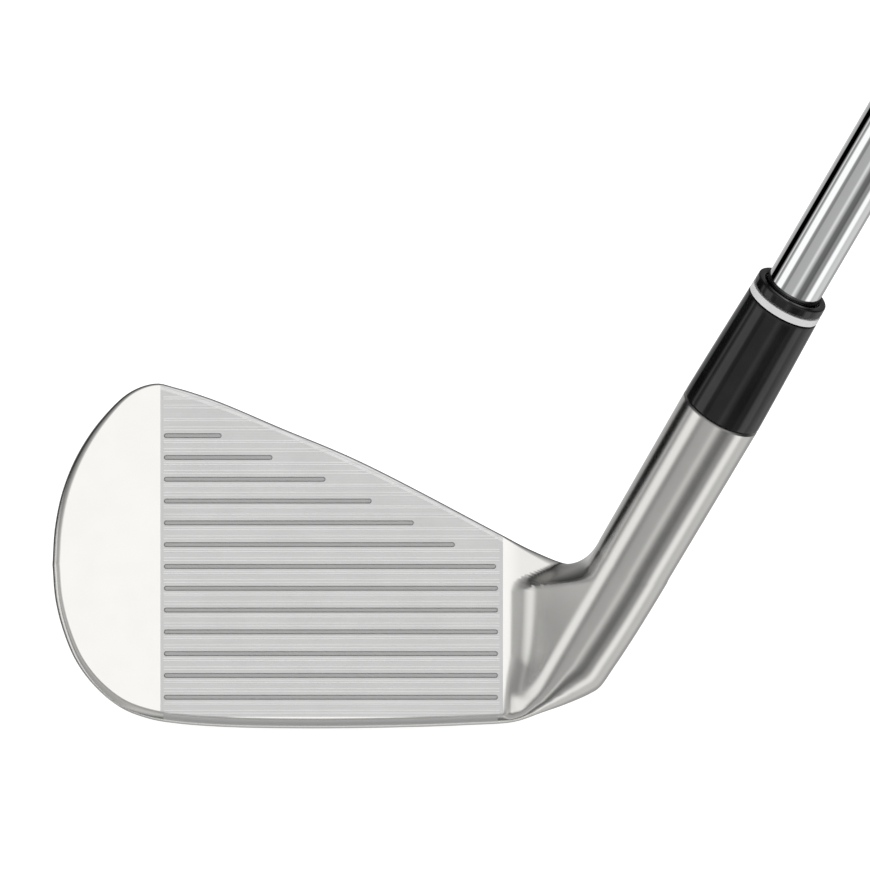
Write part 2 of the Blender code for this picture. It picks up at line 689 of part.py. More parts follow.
def prism(work, outline, near, far, corner, edge=0.0, draft=0.0):
    """A flat shape over an outline of the face plane, from one depth to another, its corners soft."""
    middle = np.mean(outline, axis=0)
    near_ring = [work.verts.new(face_point(x, y, near)) for x, y in outline]
    far_ring = []
    for point in outline:
        away = np.array(point) - middle
        x, y = point + away / np.linalg.norm(away) * draft
        far_ring.append(work.verts.new(face_point(x, y, far)))
    join_rings(work, near_ring, far_ring)
    corners = [i for i in range(len(outline)) if turn_at(outline, i) > math.radians(25)]
    uprights = [work.edges.get((near_ring[i], far_ring[i])) for i in corners]
    soften(work, uprights, corner, 4)
    if edge:
        caps = [face for face in work.faces if len(face.verts) > 8]
        nearest = min(caps, key=lambda face: depth_of(face.calc_center_median()))
        soften(work, list(nearest.edges), edge, 2)


def soften(work, edges, radius, segments):
    bmesh.ops.bevel(
        work,
        geom=edges,
        offset=radius,
        segments=segments,
        profile=0.5,
        affect="EDGES",
        clamp_overlap=True,
    )


def depth_of(point):
    """How far a point lies behind the face plane."""
    return (point.y + FACE_TO_SHAFT) * math.cos(LOFT) - point.z * math.sin(LOFT)


# ---------------------------------------------------------------- pieces


def make_head(parts, cutters, club, shaft_line, material):
    upper, lower = upper_branch(), lower_branch()
    mesh = mesh_from("head", lambda work: loft_head(work, upper, lower), math.radians(28))
    head = add_object("head", mesh, parts, club, material)

    grooves = mesh_from("scoring", lambda work: fill_grooves(work, upper))
    cut(head, add_cutter("scoring", grooves, cutters, club))

    outline = pocket_outline(upper, 0.0)
    pocket = mesh_from(
        "pocket",
        lambda work: prism(work, outline, FACE_THICKNESS, 30 * MM, CAVITY_CORNER, 0.8 * MM, 1.2 * MM),
    )
    cut(head, add_cutter("pocket", pocket, cutters, club))

    reach = 2 * MM
    bore_radius = SHAFT_TIP_RADIUS + 2 * GAP + BOND_THICKNESS
    tip = -BORE_DEPTH - 1.5 * MM
    bore_profile = [(0.0, reach), (bore_radius, reach), (bore_radius, -BORE_DEPTH), (0.0, tip)]
    bore = turned("bore", bore_profile, HOSEL_TOP, cutters, shaft_line)
    bore.hide_render = True
    bore.display_type = "WIRE"
    cut(head, bore)

    radius, beyond = WEIGHT_RADIUS + GAP, 24 * MM
    seat = mesh_from("weight_seat", lambda work: fill_plug(work, radius, WEIGHT_FLOOR, beyond))
    cut(head, add_cutter("weight_seat", seat, cutters, club))
    return upper


def fill_plug(work, radius, near, far, edge=0.0):
    """A round plug square to the face, at the toe weight's place."""
    centre = face_point(-WEIGHT_TOE, WEIGHT_HEIGHT, (near + far) / 2)
    bmesh.ops.create_cone(
        work,
        cap_ends=True,
        segments=32,
        radius1=radius,
        radius2=radius,
        depth=far - near,
        matrix=Matrix.Translation(centre) @ Matrix.Rotation(math.pi / 2 - LOFT, 4, "X"),
    )
    if edge:
        rims = [e for e in work.edges if any(len(f.verts) > 4 for f in e.link_faces)]
        soften(work, rims, edge, 2)


def make_toe_weight(parts, club, material):
    near = WEIGHT_FLOOR + GAP
    mesh = mesh_from(
        "toe_weight",
        lambda work: fill_plug(work, WEIGHT_RADIUS, near, near + WEIGHT_LENGTH, 0.4 * MM),
        math.radians(30),
    )
    add_object("toe_weight", mesh, parts, club, material)


def make_badge(parts, club, upper, tape_material, badge_material):
    outline = pocket_outline(upper, BADGE_MARGIN, BADGE_SHARE)
    corner = max(CAVITY_CORNER - BADGE_MARGIN, 0.5 * MM)
    tape_near = FACE_THICKNESS + GAP
    tape_far = tape_near + TAPE_THICKNESS
    tape = mesh_from("badge_tape", lambda work: prism(work, outline, tape_near, tape_far, corner))
    add_object("badge_tape", tape, parts, club, tape_material)
    badge_near = tape_far + GAP
    badge_far = badge_near + BADGE_THICKNESS
    badge = mesh_from("cavity_badge", lambda work: prism(work, outline, badge_near, badge_far, corner))
    add_object("cavity_badge", badge, parts, club, badge_material)


def ferrule_radius(above_hosel):
    share = min(max(above_hosel, 0.0) / FERRULE_LENGTH, 1.0)
    return HOSEL_TOP_RADIUS + (FERRULE_END_RADIUS - HOSEL_TOP_RADIUS) * share**1.15


def sleeve(outer, inner_radius, edge):
    """Profile of a sleeve from its outer points, top to bottom, with its top edge rounded."""
    (top_radius, top), (low_radius, low) = outer[0], outer[-1]
    corner = (top_radius - edge * 0.29, top - edge * 0.29)
    start = [(top_radius - edge, top), corner, (top_radius, top - edge)]
    return [*start, *outer[1:-1], (low_radius, low), (inner_radius, low), (inner_radius, top)]


def make_ferrule(parts, shaft_line, black, white):
    inner = SHAFT_TIP_RADIUS + GAP
    pieces = (
        ("ferrule_body", FERRULE_BODY, 6, 0.1 * MM, black),
        ("ferrule_ring", FERRULE_RING, 1, 0.1 * MM, white),
        ("ferrule_collar", FERRULE_COLLAR, 1, FERRULE_EDGE, black),
    )
    low = 0.0
    for name, length, steps, edge, material in pieces:
        height = length - GAP
        base = low + GAP
        outer = [
            (ferrule_radius(base + height * (1 - i / steps)), height * (1 - i / steps))
            for i in range(steps + 1)
        ]
        turned(name, sleeve(outer, inner, edge), HOSEL_TOP + base, parts, shaft_line, material)
        low += length


def make_shaft(parts, shaft_line, material):
    rise = 0.6 * MM
    first = SHAFT_START + SHAFT_TIP
    outer = [(SHAFT_BUTT_RADIUS, SHAFT_END - GAP)]
    for step in reversed(range(SHAFT_STEPS)):
        low = SHAFT_TIP_RADIUS + (SHAFT_BUTT_RADIUS - SHAFT_TIP_RADIUS) * step / SHAFT_STEPS
        high = SHAFT_TIP_RADIUS + (SHAFT_BUTT_RADIUS - SHAFT_TIP_RADIUS) * (step + 1) / SHAFT_STEPS
        place = first + step * SHAFT_STEP_PITCH
        outer += [(high, place + rise), (low, place)]
    outer.append((SHAFT_TIP_RADIUS, SHAFT_START))
    inner = [
        (SHAFT_TIP_RADIUS - SHAFT_WALL, SHAFT_START),
        (SHAFT_TIP_RADIUS - SHAFT_WALL, first),
        (SHAFT_BUTT_RADIUS - SHAFT_WALL, first + SHAFT_STEPS * SHAFT_STEP_PITCH),
        (SHAFT_BUTT_RADIUS - SHAFT_WALL, SHAFT_END - GAP),
    ]
    profile = [(radius, up - SHAFT_START) for radius, up in outer + inner]
    turned("shaft", profile, SHAFT_START, parts, shaft_line, material, turns=32)


def make_bond(parts, shaft_line, material):
    inner = SHAFT_TIP_RADIUS + GAP
    outer = inner + BOND_THICKNESS
    top, low = -GAP, -(BORE_DEPTH - PLUG_FLANGE - 3 * GAP)
    profile = [(outer, top), (outer, low), (inner, low), (inner, top)]
    turned("hosel_bond", profile, HOSEL_TOP, parts, shaft_line, material)


def make_tip_weight(parts, shaft_line, material):
    plug = SHAFT_TIP_RADIUS - SHAFT_WALL - GAP
    top = PLUG_FLANGE + GAP + PLUG_LENGTH
    profile = [(0.0, top), (plug - 0.5 * MM, top), (plug, top - 0.5 * MM)]
    profile += [(plug, PLUG_FLANGE), (SHAFT_TIP_RADIUS, PLUG_FLANGE)]
    profile += [(SHAFT_TIP_RADIUS, 0.0), (0.0, 0.0)]
    turned("tip_weight", profile, SHAFT_START - GAP - PLUG_FLANGE, parts, shaft_line, material, turns=32)


def make_band(parts, shaft_line, material):
    inner = SHAFT_BUTT_RADIUS + GAP
    outer = inner + BAND_THICKNESS
    profile = [(outer, BAND_LENGTH), (outer, 0.0), (inner, 0.0), (inner, BAND_LENGTH)]
    start = GRIP_START - BAND_FROM_GRIP - BAND_LENGTH
    turned("shaft_band", profile, start, parts, shaft_line, material, turns=32)


def make_grip(parts, shaft_line, tape_material, rubber, cap_material):
    tape_inner = SHAFT_BUTT_RADIUS + GAP
    tape_outer = tape_inner + GRIP_TAPE_THICKNESS
    tape_length = GRIP_LENGTH - CAP_LENGTH - 2 * TAPE_MARGIN
    tape = [(tape_outer, tape_length), (tape_outer, 0.0), (tape_inner, 0.0), (tape_inner, tape_length)]
    turned("grip_tape", tape, GRIP_START + TAPE_MARGIN, parts, shaft_line, tape_material, turns=32)

    sleeve_inner = tape_outer + GAP
    length = GRIP_LENGTH - CAP_LENGTH - GAP
    steps = 8
    body = []
    for i in range(steps + 1):
        share = 1 - i / steps
        radius = GRIP_MOUTH_RADIUS + (GRIP_BUTT_RADIUS - GRIP_MOUTH_RADIUS) * share**1.35
        body.append((radius, GRIP_LIP * 2.2 + (length - GRIP_LIP * 2.2) * share))
    lip = [
        (GRIP_MOUTH_RADIUS + GRIP_LIP * 0.7, GRIP_LIP * 1.7),
        (GRIP_MOUTH_RADIUS + GRIP_LIP, GRIP_LIP),
        (GRIP_MOUTH_RADIUS + GRIP_LIP * 0.6, 0.2 * GRIP_LIP),
        (GRIP_MOUTH_RADIUS, 0.0),
    ]
    profile = [*body, *lip, (sleeve_inner, 0.0), (sleeve_inner, length)]
    turned("grip_sleeve", profile, GRIP_START, parts, shaft_line, rubber)

    crown = 1.2 * MM
    cap = [
        (VENT_RADIUS, CAP_LENGTH),
        (CAP_RADIUS * 0.78, CAP_LENGTH),
        (CAP_RADIUS * 0.94, CAP_LENGTH - crown * 0.35),
        (CAP_RADIUS, CAP_LENGTH - crown),
        (CAP_RADIUS, crown),
        (CAP_RADIUS - crown * 0.7, 0.0),
        (VENT_RADIUS, 0.0),
    ]
    turned("grip_cap", cap, CLUB_LENGTH - CAP_LENGTH, parts, shaft_line, cap_material)


def make_club():
    clear_scene()
    parts = new_collection("iron_golf_club")
    cutters = new_collection("cutters", cutters=True)
    club = bpy.data.objects.new("club", None)
    parts.objects.link(club)
    hold = CLUB_LENGTH - HOLD_FROM_END
    club.location = (-hold * math.cos(LIE), 0.0, -hold * math.sin(LIE))
    shaft_line = bpy.data.objects.new("shaft_line", None)
    parts.objects.link(shaft_line)
    shaft_line.parent = club
    shaft_line.rotation_euler = (0.0, math.pi / 2 - LIE, 0.0)

    steel = new_material("satin_steel", (0.62, 0.62, 0.61), 0.32, 1.0)
    tungsten = new_material("tungsten", (0.38, 0.38, 0.39), 0.4, 1.0)
    badge = new_material("badge_metal", (0.08, 0.08, 0.09), 0.35, 0.6)
    tape = new_material("adhesive_tape", (0.75, 0.73, 0.66), 0.8, 0.0)
    epoxy = new_material("epoxy", (0.55, 0.48, 0.3), 0.5, 0.0)
    brass = new_material("brass", (0.72, 0.55, 0.25), 0.35, 1.0)
    black = new_material("black_plastic", (0.012, 0.012, 0.013), 0.15, 0.0)
    white = new_material("ring_plastic", (0.72, 0.72, 0.72), 0.3, 0.0)
    chrome = new_material("chrome", (0.8, 0.8, 0.82), 0.06, 1.0)
    label = new_material("shaft_label", (0.3, 0.31, 0.33), 0.4, 0.0)
    rubber = new_material("rubber", (0.02, 0.02, 0.021), 0.75, 0.0)
    cap = new_material("cap_rubber", (0.05, 0.05, 0.052), 0.6, 0.0)

    upper = make_head(parts, cutters, club, shaft_line, steel)
    make_toe_weight(parts, club, tungsten)
    make_badge(parts, club, upper, tape, badge)
    make_bond(parts, shaft_line, epoxy)
    make_tip_weight(parts, shaft_line, brass)
    make_ferrule(parts, shaft_line, black, white)
    make_shaft(parts, shaft_line, chrome)
    make_band(parts, shaft_line, label)
    make_grip(parts, shaft_line, tape, rubber, cap)


if __name__ == "__main__":
    make_club()
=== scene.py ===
import math

import bmesh
import bpy
import numpy as np
from mathutils import Matrix, Vector


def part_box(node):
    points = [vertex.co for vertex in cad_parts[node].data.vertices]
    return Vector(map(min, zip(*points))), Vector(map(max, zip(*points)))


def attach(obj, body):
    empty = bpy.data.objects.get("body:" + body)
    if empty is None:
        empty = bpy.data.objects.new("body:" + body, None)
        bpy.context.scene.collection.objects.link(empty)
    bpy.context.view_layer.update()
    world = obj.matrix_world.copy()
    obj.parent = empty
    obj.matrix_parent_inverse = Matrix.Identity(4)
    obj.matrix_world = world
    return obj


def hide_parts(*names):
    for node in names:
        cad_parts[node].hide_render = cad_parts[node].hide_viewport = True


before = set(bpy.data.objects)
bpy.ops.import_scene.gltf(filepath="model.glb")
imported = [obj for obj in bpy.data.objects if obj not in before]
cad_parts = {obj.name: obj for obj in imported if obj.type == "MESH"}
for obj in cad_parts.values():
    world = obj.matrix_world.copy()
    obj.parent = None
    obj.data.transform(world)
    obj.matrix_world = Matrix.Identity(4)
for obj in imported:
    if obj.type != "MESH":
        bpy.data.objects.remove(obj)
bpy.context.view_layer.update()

bl_info = {
    "name": "Iron Golf Club",
    "version": (1, 0, 0),
    "blender": (4, 5, 0),
    "location": "3D View > Sidebar > Iron Club",
    "description": "Builds the visible pieces, finishes and studio of an iron golf club",
    "category": "Object",
}

MM = 0.001
GAP = 0.3 * MM

# The club as it was made: the same sizes as its solids. Lengths are in metres. "up" is a
# distance along the shaft line from the ground, and "across" runs from the toe to the heel.
LOFT = math.radians(24.5)
LIE = math.radians(62.1)
CLUB_LENGTH = 965 * MM
HOLD_FROM_END = 110 * MM

BLADE_LENGTH = 79.3 * MM
TOE_HEIGHT = 58.5 * MM
HEEL_HEIGHT = 34.0 * MM
FACE_THICKNESS = 3.2 * MM
TOP_LINE_WIDTH = 6.0 * MM
TOE_WIDTH = 7.6 * MM
TOP_EDGE_RADIUS = 0.3 * MM
TOE_EDGE_RADIUS = 1.3 * MM
LEADING_EDGE_RADIUS = 1.7 * MM
SOLE_CAMBER_RADIUS = 40 * MM
SOLE_FRONT_TILT = math.radians(12)
SOLE_REAR_TILT = math.radians(9)
HEEL_SOLE_WIDTH = 8.5 * MM
BACK_EDGE_RADIUS = 1.0 * MM
TRAILING_EDGE_RADIUS = 1.8 * MM
OFFSET = 3.0 * MM

SCORE_HEEL = 6.2 * MM
SCORE_TOE = 61.0 * MM
SCORE_MARGIN = 5.0 * MM
GROOVE_COUNT = 13
GROOVE_PITCH = 3.573 * MM
GROOVE_FIRST = 3.5 * MM
GROOVE_WALL_ANGLE = math.radians(22)

HOSEL_TOP = 64.5 * MM
HOSEL_TOP_RADIUS = 6.78 * MM
HOSEL_NECK_RADIUS = 6.48 * MM
HOSEL_NECK = 27.0 * MM
CROTCH = 25.9 * MM
BORE_DEPTH = 27 * MM
CHAMFER = 0.3 * MM
ROUND_FROM = 6.0 * MM
HEEL_HOLLOW = 3.3 * MM
HEEL_SLOPE_LOW = math.radians(30)
HEEL_SLOPE_MOST = math.radians(50)
HEEL_SLOPE_TOP = math.radians(89.5)
HEEL_STEEPER_BELOW = 2.0 * MM
HEEL_STEEPER_LEAN = math.radians(4)
HEEL_FILLET = 3.0 * MM
HEEL_RISE = 1.8 * MM
HEEL_ROLL_OVER = 15 * MM

CAVITY_FRAME = 6.0 * MM
CAVITY_CORNER = 4.0 * MM
CAVITY_LOWER = 15.5 * MM
CAVITY_LOWER_TOE = 23.5 * MM
CAVITY_HEEL = 15.0 * MM
BADGE_THICKNESS = 0.9 * MM
TAPE_THICKNESS = 0.5 * MM
BADGE_MARGIN = 2.2 * MM
BADGE_SHARE = 0.62
WEIGHT_RADIUS = 3.6 * MM
WEIGHT_LENGTH = 5.0 * MM
WEIGHT_TOE = 63.0 * MM
WEIGHT_HEIGHT = 16.8 * MM
WEIGHT_FLOOR = 5.5 * MM

FERRULE_BODY = 21.2 * MM
FERRULE_RING = 1.5 * MM
FERRULE_COLLAR = 1.9 * MM
FERRULE_END_RADIUS = 6.15 * MM

SHAFT_TIP_RADIUS = 4.7 * MM
SHAFT_BUTT_RADIUS = 7.6 * MM
SHAFT_WALL = 0.5 * MM
SHAFT_TIP = 300 * MM
SHAFT_STEPS = 11
SHAFT_STEP_PITCH = 31 * MM
BOND_THICKNESS = 0.3 * MM
PLUG_FLANGE = 1.2 * MM
BAND_LENGTH = 48 * MM
BAND_FROM_GRIP = 30 * MM
BAND_THICKNESS = 0.25 * MM

GRIP_LENGTH = 268 * MM
GRIP_MOUTH_RADIUS = 9.6 * MM
GRIP_BUTT_RADIUS = 13.4 * MM
GRIP_LIP = 1.0 * MM
GRIP_TAPE_THICKNESS = 0.3 * MM
CAP_LENGTH = 5.5 * MM
CAP_RADIUS = 14.2 * MM
VENT_RADIUS = 1.5 * MM

# How finely the surfaces are divided
TURNS = 128
FRONT_STEPS = 44
EDGE_STEPS = 14
WALL_STEPS = 6
REAR_EDGE_STEPS = 8
BACK_STEPS = 44
TOE_STATIONS = 44
BLADE_STATIONS = 30
HEEL_STATIONS = 64
HOSEL_STATIONS = 14
OUTLINE_STEPS = 24
SLOT_END_STEPS = 12
POCKET_STEPS = 48
OUTLINE_POINTS = 360

# What follows from the sizes
LEAD_CENTRE_HEIGHT = LEADING_EDGE_RADIUS * math.cos(SOLE_FRONT_TILT) + SOLE_CAMBER_RADIUS * (
    1 - math.cos(SOLE_FRONT_TILT)
)
FLAT_LOW = (LEAD_CENTRE_HEIGHT + LEADING_EDGE_RADIUS * math.sin(LOFT)) / math.cos(LOFT)
EDGE_LOW = FLAT_LOW - LEADING_EDGE_RADIUS
LEADING_EDGE_Y = (
    FLAT_LOW * math.sin(LOFT) + LEADING_EDGE_RADIUS * math.cos(LOFT) - LEADING_EDGE_RADIUS
)
FACE_TO_SHAFT = LEADING_EDGE_Y + HOSEL_TOP_RADIUS - OFFSET
FLAT_END = -SCORE_HEEL + 0.8 * MM
HEEL_STEEPER_OVER = HEEL_STEEPER_BELOW + 0.6 * ROUND_FROM
SHAFT_START = HOSEL_TOP - BORE_DEPTH + PLUG_FLANGE + 2 * GAP
SHAFT_END = CLUB_LENGTH - CAP_LENGTH
GRIP_START = CLUB_LENGTH - GRIP_LENGTH
FERRULE_LENGTH = FERRULE_BODY + FERRULE_RING + FERRULE_COLLAR

SHAFT_LINE = np.array([math.cos(LIE), math.sin(LIE) * math.cos(LOFT), math.sin(LIE) * math.sin(LOFT)])
SEEN_LINE = SHAFT_LINE[:2] / np.linalg.norm(SHAFT_LINE[:2])
SEEN_RIGHT = np.array([SEEN_LINE[1], -SEEN_LINE[0]])
FORESHORTENING = float(np.linalg.norm(SHAFT_LINE[:2]))
SHAFT_FOOT = np.array([0.0, FACE_TO_SHAFT * math.sin(LOFT), -FACE_TO_SHAFT * math.cos(LOFT)])

# Directions and the shaft line's foot in the frame's own axes
ACROSS = Vector((1.0, 0.0, 0.0))
FACE_UP = Vector((0.0, math.sin(LOFT), math.cos(LOFT)))
FACE_OUT = Vector((0.0, -math.cos(LOFT), math.sin(LOFT)))
SHAFT_WAY = Vector((math.cos(LIE), 0.0, math.sin(LIE)))
SHAFT_FRONT = (FACE_OUT - SHAFT_WAY * FACE_OUT.dot(SHAFT_WAY)).normalized()
SHAFT_RIGHT = SHAFT_WAY.cross(SHAFT_FRONT).normalized()
FOOT = -SHAFT_WAY * (CLUB_LENGTH - HOLD_FROM_END)
FACE_ORIGIN = FOOT + Vector((0.0, -FACE_TO_SHAFT, 0.0))
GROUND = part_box("head")[0].z

STEEL_TINT = (1.0, 0.985, 0.94)


# ---------------------------------------------------------------- what a user would change


class ClubSizes(bpy.types.PropertyGroup):
    """Sizes of the details that can change without moving any piece."""

    groove_width: bpy.props.FloatProperty(
        name="Groove width",
        description="Width of a scoring line at the face",
        default=0.82 * MM,
        min=0.4 * MM,
        max=1.2 * MM,
        unit="LENGTH",
    )
    groove_depth: bpy.props.FloatProperty(
        name="Groove depth",
        description="Depth of a scoring line",
        default=0.45 * MM,
        min=0.1 * MM,
        max=0.6 * MM,
        unit="LENGTH",
    )
    ferrule_edge: bpy.props.FloatProperty(
        name="Ferrule edge",
        description="Rounding of the ferrule's top edge",
        default=0.35 * MM,
        min=0.05 * MM,
        max=0.6 * MM,
        unit="LENGTH",
    )
    grip_relief: bpy.props.FloatProperty(
        name="Grip relief",
        description="Depth of the moulded pattern in the grip",
        default=0.45 * MM,
        min=0.0,
        max=0.8 * MM,
        unit="LENGTH",
    )


class ClubFinishes(bpy.types.PropertyGroup):
    """Colours and roughnesses of the finishes."""

    steel: bpy.props.FloatVectorProperty(
        name="Steel",
        description="Colour of the satin plated head",
        default=(0.80, 0.79, 0.765),
        subtype="COLOR",
        min=0.0,
        max=1.0,
    )
    steel_roughness: bpy.props.FloatProperty(
        name="Steel roughness",
        description="Roughness of the satin parts of the head",
        default=0.22,
        subtype="FACTOR",
        min=0.0,
        max=1.0,
    )
    milled: bpy.props.FloatVectorProperty(
        name="Milled face",
        description="Colour of the milled part of the face",
        default=(0.80, 0.80, 0.795),
        subtype="COLOR",
        min=0.0,
        max=1.0,
    )
    chrome: bpy.props.FloatVectorProperty(
        name="Chrome",
        description="Colour of the plated shaft",
        default=(0.93, 0.935, 0.94),
        subtype="COLOR",
        min=0.0,
        max=1.0,
    )
    ferrule_black: bpy.props.FloatVectorProperty(
        name="Ferrule",
        description="Colour of the black ferrule",
        default=(0.003, 0.003, 0.0032),
        subtype="COLOR",
        min=0.0,
        max=1.0,
    )
    ring_white: bpy.props.FloatVectorProperty(
        name="Ring",
        description="Colour of the ring in the ferrule",
        default=(0.52, 0.52, 0.52),
        subtype="COLOR",
        min=0.0,
        max=1.0,
    )
    rubber: bpy.props.FloatVectorProperty(
        name="Rubber",
        description="Colour of the grip",
        default=(0.018, 0.018, 0.019),
        subtype="COLOR",
        min=0.0,
        max=1.0,
    )


class ClubStudio(bpy.types.PropertyGroup):
    """The camera and the light."""

    lens: bpy.props.FloatProperty(
        name="Lens", description="Focal length in millimetres", default=1000.0, min=50.0, unit="CAMERA"
    )
    view_width: bpy.props.FloatProperty(
        name="View width",
        description="Width that the camera sees at the face",
        default=142.6 * MM,
        unit="LENGTH",
    )
    dome: bpy.props.FloatProperty(
        name="Dome", description="Strength of the light all round", default=1.0, min=0.0
    )
    key: bpy.props.FloatProperty(
        name="Key light", description="Power of the soft light above", default=12.0, min=0.0, unit="POWER"
    )


# ---------------------------------------------------------------- shader maths


class Value:
    """One output of a node tree, which can be used in sums."""

    def __init__(self, tree, socket):
        self.tree, self.socket = tree, socket

    def math(self, operation, *others):
        inputs = dict(enumerate((self, *others)))
        return self.tree.node("ShaderNodeMath", {"operation": operation}, inputs)

    def reflected(self, operation, other):
        return self.tree.node("ShaderNodeMath", {"operation": operation}, {0: other, 1: self})

    def __add__(self, other):
        return self.math("ADD", other)

    def __sub__(self, other):
        return self.math("SUBTRACT", other)

    def __mul__(self, other):
        return self.math("MULTIPLY", other)

    def __truediv__(self, other):
        return self.math("DIVIDE", other)

    def __radd__(self, other):
        return self.reflected("ADD", other)

    def __rsub__(self, other):
        return self.reflected("SUBTRACT", other)

    def __rmul__(self, other):
        return self.reflected("MULTIPLY", other)

    def rise(self, low, high):
        """0 below low, 1 above high and smooth between them; low above high makes it fall."""
        settings = {"interpolation_type": "SMOOTHSTEP"}
        if low < high:
            ends = {"Value": self, "From Min": low, "From Max": high}
            return self.tree.node("ShaderNodeMapRange", settings, ends)
        ends = {"Value": self, "From Min": high, "From Max": low, "To Min": 1.0, "To Max": 0.0}
        return self.tree.node("ShaderNodeMapRange", settings, ends)

    def within(self, low, high, soft):
        """1 between low and high, with soft edges."""
        return self.rise(low - soft, low + soft) * self.rise(high + soft, high - soft)


class Tree:
    """A node tree, with one method that adds any node."""

    def __init__(self, tree):
        self.tree = tree

    def node(self, kind, settings=None, sockets=None, output=0):
        """Adds a node, sets it, fills or links its sockets and returns one of its outputs."""
        made = self.tree.nodes.new(kind)
        for name, value in (settings or {}).items():
            if name == "stops":
                self.set_stops(made.color_ramp, value)
            else:
                setattr(made, name, value)
        for key, value in (sockets or {}).items():
            if isinstance(value, Value):
                self.tree.links.new(value.socket, made.inputs[key])
            else:
                made.inputs[key].default_value = value
        return Value(self, made.outputs[output])

    @staticmethod
    def set_stops(ramp, stops):
        while len(ramp.elements) < len(stops):
            ramp.elements.new(1.0)
        for element, (place, level) in zip(ramp.elements, stops):
            element.position = place
            element.color = (level, level, level, 1.0)

    def ramp(self, value, stops, interpolation="LINEAR"):
        """A grey level along a value, through (place, level) stops."""
        made = self.node("ShaderNodeValToRGB", {"stops": stops}, {"Fac": value})
        made.socket.node.color_ramp.interpolation = interpolation
        return made

    def dot(self, vector, direction):
        sockets = {0: vector, 1: tuple(direction)}
        return self.node("ShaderNodeVectorMath", {"operation": "DOT_PRODUCT"}, sockets, "Value")

    def colours(self, mask, first, second, blend="MIX"):
        """first where the mask is 0 and second where it is 1."""
        first, second = ((*c, 1.0) if isinstance(c, tuple) else c for c in (first, second))
        settings = {"data_type": "RGBA", "blend_type": blend}
        return self.node("ShaderNodeMix", settings, {0: mask, 6: first, 7: second}, 2)

    def vector(self, x, y, z):
        return self.node("ShaderNodeCombineXYZ", None, {0: x, 1: y, 2: z})

    def noise(self, vector, scale, detail=2.0, roughness=0.5):
        sockets = {"Vector": vector, "Scale": scale, "Detail": detail, "Roughness": roughness}
        return self.node("ShaderNodeTexNoise", None, sockets)

    def cells(self, vector, scale, feature="F1"):
        sockets = {"Vector": vector, "Scale": scale}
        return self.node("ShaderNodeTexVoronoi", {"feature": feature}, sockets)


class Finish(Tree):
    """A material with its Principled shader and the places that its patterns are laid out by."""

    def __init__(self, name, **constants):
        self.material = bpy.data.materials.new(name)
        self.material.use_nodes = True
        super().__init__(self.material.node_tree)
        self.shader = self.tree.nodes["Principled BSDF"]
        for key, value in constants.items():
            socket = self.shader.inputs[key.replace("_", " ").title().replace("Ior", "IOR")]
            socket.default_value = (*value, 1.0) if isinstance(value, tuple) else value
        self.place = self.node("ShaderNodeTexCoord", output="Object")

    def feed(self, name, value):
        self.tree.links.new(value.socket, self.shader.inputs[name])

    def bump(self, height, distance, strength=1.0):
        """Feeds the shader's normal from a height that is 1 where it stands one distance proud."""
        sockets = {"Height": height, "Distance": distance, "Strength": strength}
        self.feed("Normal", self.node("ShaderNodeBump", None, sockets))

    def along(self, direction, origin):
        """Distance in metres from the origin along a direction."""
        return self.dot(self.place, direction) - origin.dot(direction)

    def on_face(self):
        """(across, height, depth) as laid out on the face plane."""
        across = self.along(ACROSS, FACE_ORIGIN)
        return across, self.along(FACE_UP, FACE_ORIGIN), self.along(-FACE_OUT, FACE_ORIGIN)

    def on_shaft(self):
        """(up, angle in turns) as laid out round the shaft line."""
        up = self.along(SHAFT_WAY, FOOT)
        right, front = self.along(SHAFT_RIGHT, FOOT), self.along(SHAFT_FRONT, FOOT)
        return up, right.math("ARCTAN2", front) / math.tau

    def round_noise(self, across_scale, along_scale, detail=2.0):
        """Noise stretched along or round the shaft line, without a seam."""
        up, _ = self.on_shaft()
        right, front = self.along(SHAFT_RIGHT, FOOT), self.along(SHAFT_FRONT, FOOT)
        spot = self.vector(right * across_scale, front * across_scale, up * along_scale)
        return self.noise(spot, 1.0, detail)


# ---------------------------------------------------------------- meshes


def add_piece(name, mesh, material, replaced):
    """Puts a piece in the scene, on the club's one body, in place of its plain solid."""
    made = bpy.data.objects.new(name, mesh)
    bpy.context.scene.collection.objects.link(made)
    mesh.materials.clear()
    mesh.materials.append(material)
    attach(made, "root")
    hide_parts(replaced)
    return made


def mesh_from(name, build, smooth_angle=math.radians(30)):
    """A smooth-shaded mesh made by a function that fills a bmesh."""
    made = bpy.data.meshes.new(name)
    work = bmesh.new()
    build(work)
    bmesh.ops.recalc_face_normals(work, faces=work.faces)
    work.to_mesh(made)
    work.free()
    made.shade_smooth()
    made.set_sharp_from_angle(angle=smooth_angle)
    return made


def rounded(profile, radius, steps=5):
    """A closed profile with every corner rounded, or cut shorter where two corners are close."""
    made = []
    count = len(profile)
    for i, corner in enumerate(profile):
        corner = np.array(corner)
        before, after = np.array(profile[i - 1]), np.array(profile[(i + 1) % count])
        back, on = before - corner, after - corner
        straight = abs(back[0] * on[1] - back[1] * on[0]) < 1e-3 * np.linalg.norm(back) * np.linalg.norm(on)
        if straight or corner[0] <= 0:
            made.append(tuple(corner))
            continue
        reach = min(radius, 0.45 * np.linalg.norm(back), 0.45 * np.linalg.norm(on))
        start = corner + back / np.linalg.norm(back) * reach
        end = corner + on / np.linalg.norm(on) * reach
        for j in range(steps + 1):
            t = j / steps
            made.append(tuple(start * (1 - t) ** 2 + corner * 2 * t * (1 - t) + end * t * t))
    return made


def shaft_spot(radius, angle, up):
    turned = SHAFT_FRONT * math.cos(angle) + SHAFT_RIGHT * math.sin(angle)
    return FOOT + SHAFT_WAY * up + turned * radius


